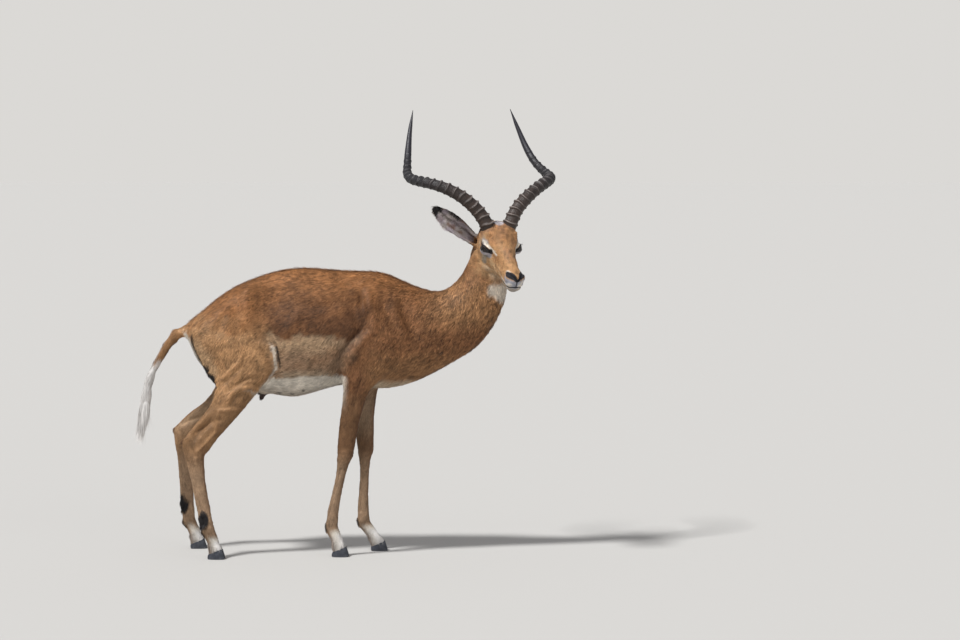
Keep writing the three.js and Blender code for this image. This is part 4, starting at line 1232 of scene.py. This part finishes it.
def horn(side):
    """One ringed horn: the ridges are strongest on its front and fade round the back and towards the tip."""
    line = smooth_line(HORN_LINE, HORN_STEPS)
    share = np.linspace(0, 1, HORN_STEPS)
    tangent = unit(np.gradient(line, axis=0))
    out = unit(np.cross((0, 0, 1), tangent))
    over = np.cross(tangent, out)
    angle = round_turn(HORN_SIDES)
    front = np.cos(angle - math.radians(70))
    fade = np.clip(1.06 - share / RINGED_SHARE, 0, 1) ** 0.3 * ease(0.010, 0.026, share)
    spacing = share / RINGED_SHARE * (1.12 - 0.12 * share / RINGED_SHARE)
    turn = HORN_RINGS * spacing[:, None] * 2 * math.pi + 0.7 * np.sin(angle)
    turn = turn + 0.35 * np.sin(3 * angle + share[:, None] * 40)
    wave = 0.5 + 0.5 * np.cos(turn + 0.5 * np.sin(turn))
    ridge = wave**2.8 * fade[:, None] * (0.70 + 0.30 * front)
    radius = np.interp(share, HORN_SHARES, HORN_RADII)[:, None]
    reach = radius * (0.92 + 0.012 * np.sin(9 * angle + 1.3)) + ridge * RIDGE_HEIGHT * (radius / 17) ** 0.5
    reach = reach * (0.84 + 0.16 * ease(0.02, 0.055, share))[:, None]  # the root stays under the skin
    points = line[:, None] + out[:, None] * (reach * np.cos(angle))[..., None]
    points = points + over[:, None] * (reach * np.sin(angle))[..., None]
    points = points.reshape(-1, 3)
    grain = ripple(points, 9, 21)
    paint = Paint(len(points), HORN_ROOT)
    paint.lay(HORN_MIDDLE, np.repeat(ease(0.1, 0.5, share), HORN_SIDES))
    # Painted highlight on the rings' crests.
    paint.rgb += (ridge**4).reshape(-1, 1) * np.array(HORN_CREST_HIGHLIGHT)
    paint.lay(HORN_TIP, np.repeat(ease(RINGED_SHARE - 0.06, RINGED_SHARE + 0.1, share), HORN_SIDES))
    rgb = paint.rgb * (1 + 0.25 * grain)[:, None]
    faces = tube_faces(HORN_STEPS, HORN_SIDES)[:, ::side]
    name = f"horn_{side_name(side)}_piece"
    piece = bake_mesh(name, on_head(mirrored(points, side)), faces, rgb, "horn")
    v = np.repeat(share * 0.6, HORN_SIDES)
    u = np.tile(np.abs(np.linspace(-1, 1, HORN_SIDES)) * 0.08, HORN_STEPS)
    map_uv(piece.data, np.column_stack([u, v]), "Length")
    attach(piece, "root")
    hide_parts("horn_left" if side > 0 else "horn_right")


# ------------------------------------------------------------------ eyes

IRIS_RADIUS = 11
PUPIL = (6.2, 3.6)  # its half length and half height
IRIS = (0.022, 0.012, 0.008)
EYE_RIM = (0.012, 0.010, 0.010)
PUPIL_TONE = 0.003
LID_SKIN = (0.016, 0.013, 0.012)
LASH = (0.012, 0.010, 0.009)


def eyeball(side):
    """A wet dark eye with a wide pupil, bulging a little at the front."""
    rows, columns = 90, 96
    polar = np.linspace(0.002, math.pi * 0.62, rows)
    turn = round_turn(columns)
    along, up, look = eye_axes(side)
    radius = EYE_RADIUS + 0.5 * np.exp(-((polar / 0.5) ** 2)) - 0.1
    ring = np.cos(turn)[:, None] * along + np.sin(turn)[:, None] * up
    polar = polar[:, None, None]
    points = radius[:, None, None] * (np.sin(polar) * ring + np.cos(polar) * look)
    u, v = points @ along, points @ up
    pupil = ease(1.08, 0.92, np.hypot(u / PUPIL[0], v / PUPIL[1]))
    iris = ease(IRIS_RADIUS + 0.6, IRIS_RADIUS - 0.6, np.hypot(u, v))
    ray = 0.85 + 0.3 * np.sin(turn * 34 + 2 * np.sin(turn * 5))
    paint_on = Paint(rows * columns, EYE_RIM)
    paint_on.lay(np.tile(ray, rows)[:, None] * IRIS, iris.ravel())
    paint_on.lay(PUPIL_TONE, pupil.ravel())
    points = mirrored(EYE_PLACE, side) + points.reshape(-1, 3)
    faces = tube_faces(rows, columns)[:, ::-side]
    name = side_name(side)
    piece = bake_mesh(f"eyeball_{name}", on_head(points), faces, paint_on.rgb, "eye")
    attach(piece, "root")
    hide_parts(f"eye_{name}")


def lid_edge(side, count, scale, reach):
    """Places `reach` over the eyeball round the opening times `scale`, the ways out there and the angles."""
    turn = round_turn(count)
    length, above, below = OPENING
    u = length * np.cos(turn)
    height = np.where(np.sin(turn) > 0, above, below) / (1 + 0.18 * np.cos(turn) ** 2)
    v = height * np.sin(turn) * np.abs(np.sin(turn)) ** 0.25
    u, v = u * scale / EYE_RADIUS, v * scale / EYE_RADIUS
    w = np.sqrt(np.clip(1 - u**2 - v**2, 0, 1))
    way = np.column_stack([u, v, w]) @ eye_axes(side)
    return mirrored(EYE_PLACE, side) + way * (EYE_RADIUS + reach), way, turn


def lids(side):
    """The bare dark margins of both lids, a soft bead round the opening, with lashes."""
    count = 120
    section = [(0.99, -0.5), (0.97, 0.4), (0.985, 1.1), (1.03, 1.6), (1.08, 1.7), (1.14, 1.5), (1.2, 0.6)]
    rings = [lid_edge(side, count, scale, reach)[0] for scale, reach in section]
    points = np.stack(rings).reshape(-1, 3)
    faces = tube_faces(len(section), count)[:, ::-side]
    piece = bake_mesh(f"lids_{side_name(side)}", on_head(points), faces, LID_SKIN, "lid")
    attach(piece, "root")
    lashes(side)


def lashes(side):
    """Curved dark lashes on the upper lid."""
    place_on, way, turn = lid_edge(side, 240, 1.04, 2.0)
    upper = (turn > 0.7) & (turn < 2.8)
    root, way = place_on[upper][::3], way[upper][::3]
    along, up, look = eye_axes(side)
    count = len(root)
    bend = np.linspace(0, 1, 6)[:, None, None]
    sideways = np.linspace(0.5, -0.5, count)[:, None] * along
    length = 5 + 5 * np.sin(np.linspace(0.2, 2.9, count))
    length = (length * (1 + 0.2 * np.sin(np.arange(count) * 2.1)))[:, None]
    curve = root + bend * length * (look * 0.75 + up * 0.1 + sideways * 0.7) + bend**2 * length * 0.55 * up
    half = 0.28 * (1 - bend**2) * along
    points = np.stack([curve - half, curve + half], axis=2)
    points = points.transpose(1, 0, 2, 3).reshape(-1, 3)
    strip = np.array([(0, 1, 3, 2)]) + 2 * np.arange(5)[:, None]
    faces = (strip[None] + 12 * np.arange(count)[:, None, None]).reshape(-1, 4)
    piece = bake_mesh(f"lashes_{side_name(side)}", on_head(points), faces, LASH, "lid")
    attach(piece, "root")


# ------------------------------------------------------------------ hooves

CORONET_HEIGHT = 22
CORONET_SLOPE = 0.42
TOE_SPLAY = 3  # degrees that each toe turns outward
TOE_GAP = 9.6  # from the hoof's middle to a toe's
HOOF_DARK = (0.022, 0.026, 0.037)
HOOF_WORN = (0.022, 0.022, 0.024)
# Of one toe, from the sole up: height share, front and rear ends, half width.
HOOF_ROWS = [(0.0, 25.5, -21.5, 8.6), (0.05, 27, -23, 9.5), (0.3, 25, -24, 9.9), (0.6, 22, -23.8, 9.9),
             (0.9, 19.5, -22.8, 9.5), (1.0, 18, -21.5, 9.0)]


def turned(degrees):
    """Turns rows of points round the vertical, when they are multiplied by it."""
    return np.array(Matrix.Rotation(-math.radians(degrees), 3, "Z"))


def hoof(name, leg):
    """Two toes with a cleft between; growth rings run round each one."""
    x0, y0, turn = leg["foot"]
    sides, steps = 44, 36
    angle = round_turn(sides)
    rows = np.array(HOOF_ROWS)
    level = np.linspace(0, 1, steps)
    front, rear, half = (np.interp(level, rows[:, 0], rows[:, k]) for k in (1, 2, 3))
    points, faces = [], []
    for toe in (-1, 1):
        c, s = np.cos(angle), np.sin(angle)
        power = np.where(c > 0, 2 / 1.6, 2 / 2.4)
        middle, reach = (front + rear) / 2, (front - rear) / 2
        px = middle[:, None] + reach[:, None] * np.sign(c) * np.abs(c) ** power
        py = half[:, None] * np.sign(s) * np.abs(s) ** power
        rings = 1 + 0.012 * np.sin(level[:, None] * 34 + 1.8 * c) * (level[:, None] > 0.1)
        top = CORONET_HEIGHT + CORONET_SLOPE * px + 1.2
        pz = level[:, None] * top
        px, py = px * rings, py * rings
        rows_of_toe = np.stack([px, py, pz], axis=-1).reshape(-1, 3)
        points.append(rows_of_toe @ turned(toe * TOE_SPLAY) + (0, toe * TOE_GAP, 0))
        faces.append(tube_faces(steps, sides) + (len(points) - 1) * steps * sides)
    points = np.vstack(points)
    shine = 0.5 + 0.5 * ripple(points, 6, 31)
    rgb = np.array(HOOF_DARK) + shine[:, None] * np.array(HOOF_WORN)
    rgb += ease(6, 0, points[:, 2])[:, None] * 0.03  # dust by the sole
    points = points @ turned(turn) + (x0, y0, 0)
    sole = [np.arange(sides)[::-1] + k * steps * sides for k in range(2)]
    piece = bake_mesh(f"hoof_{name}_piece", points, np.vstack(faces), rgb, "hoof")
    close_soles(piece.data, sole)
    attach(piece, "root")
    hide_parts(f"hoof_{name}")


def close_soles(mesh, soles):
    form = bmesh.new()
    form.from_mesh(mesh)
    form.verts.ensure_lookup_table()
    for sole in soles:
        form.faces.new([form.verts[int(i)] for i in sole])
    form.to_mesh(mesh)
    form.free()


# ------------------------------------------------------------------ materials


class Look:
    """A material whose colour is the marks on its mesh, to be given variation and bumps by noises."""

    def __init__(self, name, roughness, marked=True):
        self.material = bpy.data.materials.new(name)
        self.material.use_nodes = True
        self.tree = self.material.node_tree
        self.link = self.tree.links.new
        self.shader = self.tree.nodes["Principled BSDF"]
        self.set(self.shader, {"Roughness": roughness})
        if marked:
            colours = self.tree.nodes.new("ShaderNodeVertexColor")
            colours.layer_name = "Marks"
            self.link(colours.outputs["Color"], self.shader.inputs["Base Color"])

    def set(self, node, values):
        for name, value in values.items():
            node.inputs[name].default_value = value

    def node(self, kind, values):
        made = self.tree.nodes.new("ShaderNode" + kind)
        self.set(made, values)
        return made

    def stretched(self, source, stretch):
        """Coordinates multiplied along each axis; with a small factor a noise runs long that way."""
        mapping = self.node("Mapping", {"Scale": stretch})
        self.link(source, mapping.inputs["Vector"])
        return mapping.outputs["Vector"]

    def noise(self, scale, detail, stretch=(1, 1, 1), roughness=0.55, source=None):
        """A noise over the object's own coordinates, or over another source's."""
        source = source or self.tree.nodes.new("ShaderNodeTexCoord").outputs["Object"]
        made = self.node("TexNoise", {"Scale": scale, "Detail": detail, "Roughness": roughness})
        self.link(self.stretched(source, stretch), made.inputs["Vector"])
        return made.outputs["Fac"]

    def spread(self, value, low, high, bottom=0.3, top=0.7):
        """A value from bottom to top, such as a noise's, spread over the range from low to high."""
        values = {"From Min": bottom, "From Max": top, "To Min": low, "To Max": high}
        made = self.node("MapRange", values)
        self.link(value, made.inputs["Value"])
        return made.outputs["Result"]

    def vary(self, value, low, high):
        """Darkens and lightens the base colour by a noise."""
        mix = self.tree.nodes.new("ShaderNodeVectorMath")
        mix.operation = "SCALE"
        self.link(self.shader.inputs["Base Color"].links[0].from_socket, mix.inputs[0])
        self.link(self.spread(value, low, high), mix.inputs["Scale"])
        self.link(mix.outputs["Vector"], self.shader.inputs["Base Color"])

    def bump(self, value, distance, strength):
        """Raises the surface by a value, on top of the bumps that it has already."""
        made = self.node("Bump", {"Strength": strength, "Distance": distance})
        self.link(value, made.inputs["Height"])
        normal = self.shader.inputs["Normal"]
        if normal.links:
            self.link(normal.links[0].from_socket, made.inputs["Normal"])
        self.link(made.outputs["Normal"], normal)

    def roughen(self, value, low, high):
        self.link(self.spread(value, low, high), self.shader.inputs["Roughness"])


def hide_material():
    """The short flat coat on the skin: streaks of hair, clumps and a faint sheen."""
    look = Look("coat_short", 0.72)
    streaks, clumps = look.noise(620, 3, (1, 1, 0.45)), look.noise(95, 3)
    look.vary(streaks, 0.80, 1.18)
    look.vary(clumps, 0.90, 1.10)
    look.bump(clumps, 0.0014, 0.5)
    look.bump(streaks, 0.0007, 0.7)
    look.roughen(clumps, 0.62, 0.8)
    look.set(look.shader, {"Specular IOR Level": 0.2, "Sheen Weight": 0.04})
    return look.material


def hair_material():
    look = Look("coat_tufts", 0.6)
    fibre = look.noise(900, 2)
    look.vary(fibre, 0.85, 1.15)
    look.bump(fibre, 0.0003, 0.5)
    look.set(look.shader, {"Specular IOR Level": 0.25})
    return look.material


def horn_material():
    """Grooves along the horn and a fine grain; their bumps fade past the rings, where it is polished."""
    look = Look("horn_ringed", 0.5)
    along = look.tree.nodes.new("ShaderNodeUVMap")
    along.uv_map = "Length"
    grooves = look.noise(110, 5, (9, 1, 1), 0.65, along.outputs["UV"])
    grain = look.noise(260, 4)
    look.vary(grooves, 0.7, 1.3)
    look.vary(grain, 0.8, 1.2)
    height = look.tree.nodes.new("ShaderNodeSeparateXYZ")
    look.link(along.outputs["UV"], height.inputs["Vector"])
    ringed = look.spread(height.outputs["Y"], 1.0, 0.15, 0.36, 0.48)
    for value, distance, strength in ((grooves, 0.0012, 0.8), (grain, 0.0005, 0.6)):
        faded = look.tree.nodes.new("ShaderNodeMath")
        faded.operation = "MULTIPLY"
        look.link(value, faded.inputs[0])
        look.link(ringed, faded.inputs[1])
        look.bump(faded.outputs["Value"], distance, strength)
    look.roughen(grain, 0.36, 0.62)
    return look.material


def hoof_material():
    look = Look("hoof_horn", 0.42)
    fibres, wear = look.noise(700, 4, (1, 1, 0.15)), look.noise(150, 4)
    look.vary(fibres, 0.75, 1.3)
    look.vary(wear, 0.8, 1.25)
    look.bump(fibres, 0.0004, 0.6)
    look.roughen(wear, 0.34, 0.6)
    return look.material


def eye_material():
    look = Look("eye_wet", 0.08)
    look.vary(look.noise(900, 3), 0.85, 1.15)
    look.set(look.shader, {"Coat Weight": 0.35, "Coat Roughness": 0.02, "IOR": 1.30})
    return look.material


def lid_material():
    look = Look("lid_skin", 0.35)
    grain = look.noise(1400, 3)
    look.vary(grain, 0.8, 1.25)
    look.bump(grain, 0.0003, 0.6)
    return look.material


# ------------------------------------------------------------------ the coat's tufts


def near_jaw(co):
    """1 by the jaw and the ears, where the neck's hair shortens towards the face, and 0 down the neck."""
    face = to_head(co)
    return ease(-190, -125, face[:, 0]) * ease(-165, -95, face[:, 2])


def grow_coat(coat):
    """All the tufts, from the short cover of the body to the tail's long hair."""
    co = coat.co
    x, y, z = co.T
    face = to_head(co)
    head = head_share(face)
    sym = np.column_stack([face[:, 0], np.abs(face[:, 1]), face[:, 2]])
    bare = np.minimum(line_gap(sym, NOSTRIL) - 2, line_gap(sym, MOUTH))
    open_skin = ease(3, 5, bare) * ease(EYE_RADIUS + 1.6, EYE_RADIUS + 3.5, oval(sym, EYE_PLACE, 1))
    open_skin = open_skin * ease(20, 24, line_gap(sym, HORN_LINE[:3]))
    tail = on_tail(co)
    legs = ease(520, 440, z) * (1 - head)
    body_share = (1 - head) * (1 - legs) * (1 - tail)
    rough = ease(120, 240, x) * ease(560, 600, z) * (1 - head)
    thin = 0
    roots = coat.roots(body_share, 2.2 + 3 * thin, 1)
    fine = 1 - 0.55 * fold_line(roots["co"], 6, 10)
    grow("coat_body", roots, 13 * fine - 6 * near_jaw(roots["co"]), 1.4, 0.09, 0.07, 0.2, 0.40, 13)
    roots = coat.roots(rough, 2.6 + 3 * thin, 2)
    near = near_jaw(roots["co"])
    grow("coat_neck", roots, 15 - 8 * near, 1.6 - 0.6 * near, 0.14, 0.12, 0.30, 0.56, 13, 1.15)
    grow("coat_legs", coat.roots(legs * (1 - tail), 1.9 + 3 * thin, 3), 8, 1.0, 0.07, 0.05, 0.14, 0.24, 12)
    roots = coat.roots(head * open_skin, 1.4 + 2 * thin, 4)
    short = ease(90, 150, to_head(roots["co"])[:, 0])
    grow("coat_face", roots, 5.5 - 2.5 * short, 0.55 - 0.15 * short, 0.07, 0.05, 0.22, 0.36, 9)
    ridge = ease(12, 4, np.abs(y)) * ease(690, 720, z) * ease(270, 220, x) * (1 - tail)
    grow("coat_ridge", coat.roots(ridge, 1.9, 5), 18, 1.2, 0.16, 0.16, 0.2, 0.3, 12)
    grow_tail(coat, tail)
    grow_legs(coat)
    grow_ears(coat, face)


def grow_tail(coat, tail):
    z = coat.co[:, 2]
    roots = coat.roots(tail * ease(560, 620, z), 1.4, 6)
    grow("tail_root_hair", roots, 18, 1.3, 0.08, 0.05, 0.15, 0.16, 9)
    roots = coat.roots(tail * ease(630, 600, z), 1.05, 7)
    low = ease(600, 470, roots["co"][:, 2])
    grow("tail_hair", roots, 34 + 50 * low, 1.5, 0.055, 0.035, 0.07, 0.10, 20)


def grow_legs(coat):
    co, no = coat.co, coat.no
    glands = np.zeros(len(co))
    fetlocks = np.zeros(len(co))
    coronet = np.zeros(len(co))
    for leg in LEGS.values():
        fetlock = np.array(leg["fetlock"], float)
        own = (np.abs(co[:, 1] - fetlock[1]) < 40) * (np.abs(co[:, 0] - fetlock[0]) < 70)
        if "hock" in leg:
            glands = np.maximum(glands, ease(1.1, 0.85, gland_level(co, leg)))
        back = oval(co, fetlock + FETLOCK_REAR, (8, 9, 12))
        fetlocks = np.maximum(fetlocks, ease(1.4, 0.9, back))
        coronet = np.maximum(coronet, own * ease(48, 38, co[:, 2]) * ease(-0.7, -0.4, no[:, 2]))
    grow("gland_tufts", coat.roots(glands, 1.0, 8), 16, 1.1, 0.20, 0.14, 0.2, 0.15, 8)
    grow("fetlock_tufts", coat.roots(fetlocks, 1.1, 9), 11, 0.9, 0.16, 0.18, 0.2, 0.12, 6)
    grow("coronet_hair", coat.roots(coronet, 1.0, 10), 14, 0.9, 0.20, 0.18, 0.15, 0.12, 5)


def grow_ears(coat, face):
    hollow = np.zeros(len(face))
    edge = np.zeros(len(face))
    for name in EARS:
        own, share, ahead, sideways, (_, front, _) = ear_places(face, name)
        on = own & (share > 0.04) & (share < 1.05) & (np.hypot(ahead, sideways) < 44)
        facing = (coat.no @ HEAD_TURN) @ front
        hollow = np.maximum(hollow, on * ease(0.0, 0.4, facing) * ease(0.95, 0.7, share))
        edge = np.maximum(edge, on * ease(0.55, 0.15, np.abs(facing)))
    grow("ear_hair", coat.roots(hollow, 1.6, 11), 13, 0.8, 0.10, 0.08, 0.25, 0.14, 6)
    grow("ear_rim", coat.roots(edge, 1.3, 12), 6, 0.6, 0.06, 0.06, 0.15, 0.1, 6)


# ------------------------------------------------------------------ floor, lights and camera

CAMERA_PLACE = (0.4048, -11.0418, 1.53)
FLOOR = (0.50, 0.49, 0.47)
BACKDROP = (0.708, 0.694, 0.671)
CAMERA_DIP = 4.2794635  # degrees under the horizon
FOCAL_LENGTH = 137.8125
SENSOR_WIDTH = 36


def camera():
    data = bpy.data.cameras.new("camera")
    data.lens = FOCAL_LENGTH
    data.sensor_width = SENSOR_WIDTH
    data.clip_end = 100
    eye = added("camera", data)
    eye.location = CAMERA_PLACE
    eye.rotation_euler = (math.radians(90 - CAMERA_DIP), 0, 0)
    bpy.context.scene.camera = eye


def floor():
    look = Look("floor", 0.9, False)
    look.set(look.shader, {"Base Color": (*FLOOR, 1)})
    mesh = bpy.data.meshes.new("floor")
    form = bmesh.new()
    bmesh.ops.create_grid(form, x_segments=1, y_segments=1, size=30)
    form.to_mesh(mesh)
    form.free()
    ground = added("floor", mesh)
    ground.data.materials.append(look.material)


def sun(name, place_m, strength, angle):
    """Even light that comes from the side of a place, wherever the model stands."""
    data = bpy.data.lights.new(name, "SUN")
    data.energy = strength
    data.angle = math.radians(angle)
    added(name, data).rotation_euler = Vector(place_m).to_track_quat("Z", "Y").to_euler()


def lights():
    """A soft key and fill with an even glow; the camera sees a backdrop in the lit floor's tone."""
    world = bpy.data.worlds.new("studio")
    bpy.context.scene.world = world
    world.use_nodes = True
    tree = world.node_tree
    glow = tree.nodes["Background"]
    glow.inputs["Color"].default_value = (0.97, 0.97, 1.0, 1)
    glow.inputs["Strength"].default_value = 0.42
    backdrop = tree.nodes.new("ShaderNodeBackground")
    backdrop.inputs["Color"].default_value = (*BACKDROP, 1)
    rays = tree.nodes.new("ShaderNodeLightPath")
    mix = tree.nodes.new("ShaderNodeMixShader")
    tree.links.new(rays.outputs["Is Camera Ray"], mix.inputs["Fac"])
    tree.links.new(glow.outputs["Background"], mix.inputs[1])
    tree.links.new(backdrop.outputs["Background"], mix.inputs[2])
    tree.links.new(mix.outputs["Shader"], tree.nodes["World Output"].inputs["Surface"])
    sun("key", (-2.5, -2.2, 5.0), 3.7, 8)
    sun("fill", (3.6, -4.2, 1.4), 0.35, 40)
    bpy.context.scene.view_settings.view_transform = "Standard"


# ------------------------------------------------------------------ making it all

camera()
floor()
lights()
MATERIALS = {
    "hide": hide_material(), "hair": hair_material(), "horn": horn_material(),
    "hoof": hoof_material(), "eye": eye_material(), "lid": lid_material(),
}
body, skin = shaped_skin()
coat = Coat(skin)
paint(body.data, coat.rgb)
map_uv(body.data, coat.uv)
body.data.materials.clear()
body.data.materials.append(MATERIALS["hide"])
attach(body, "root")
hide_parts(*FLESH)
for side in (-1, 1):
    horn(side)
    eyeball(side)
    lids(side)
for name, leg in LEGS.items():
    hoof(name, leg)
grow_coat(coat)
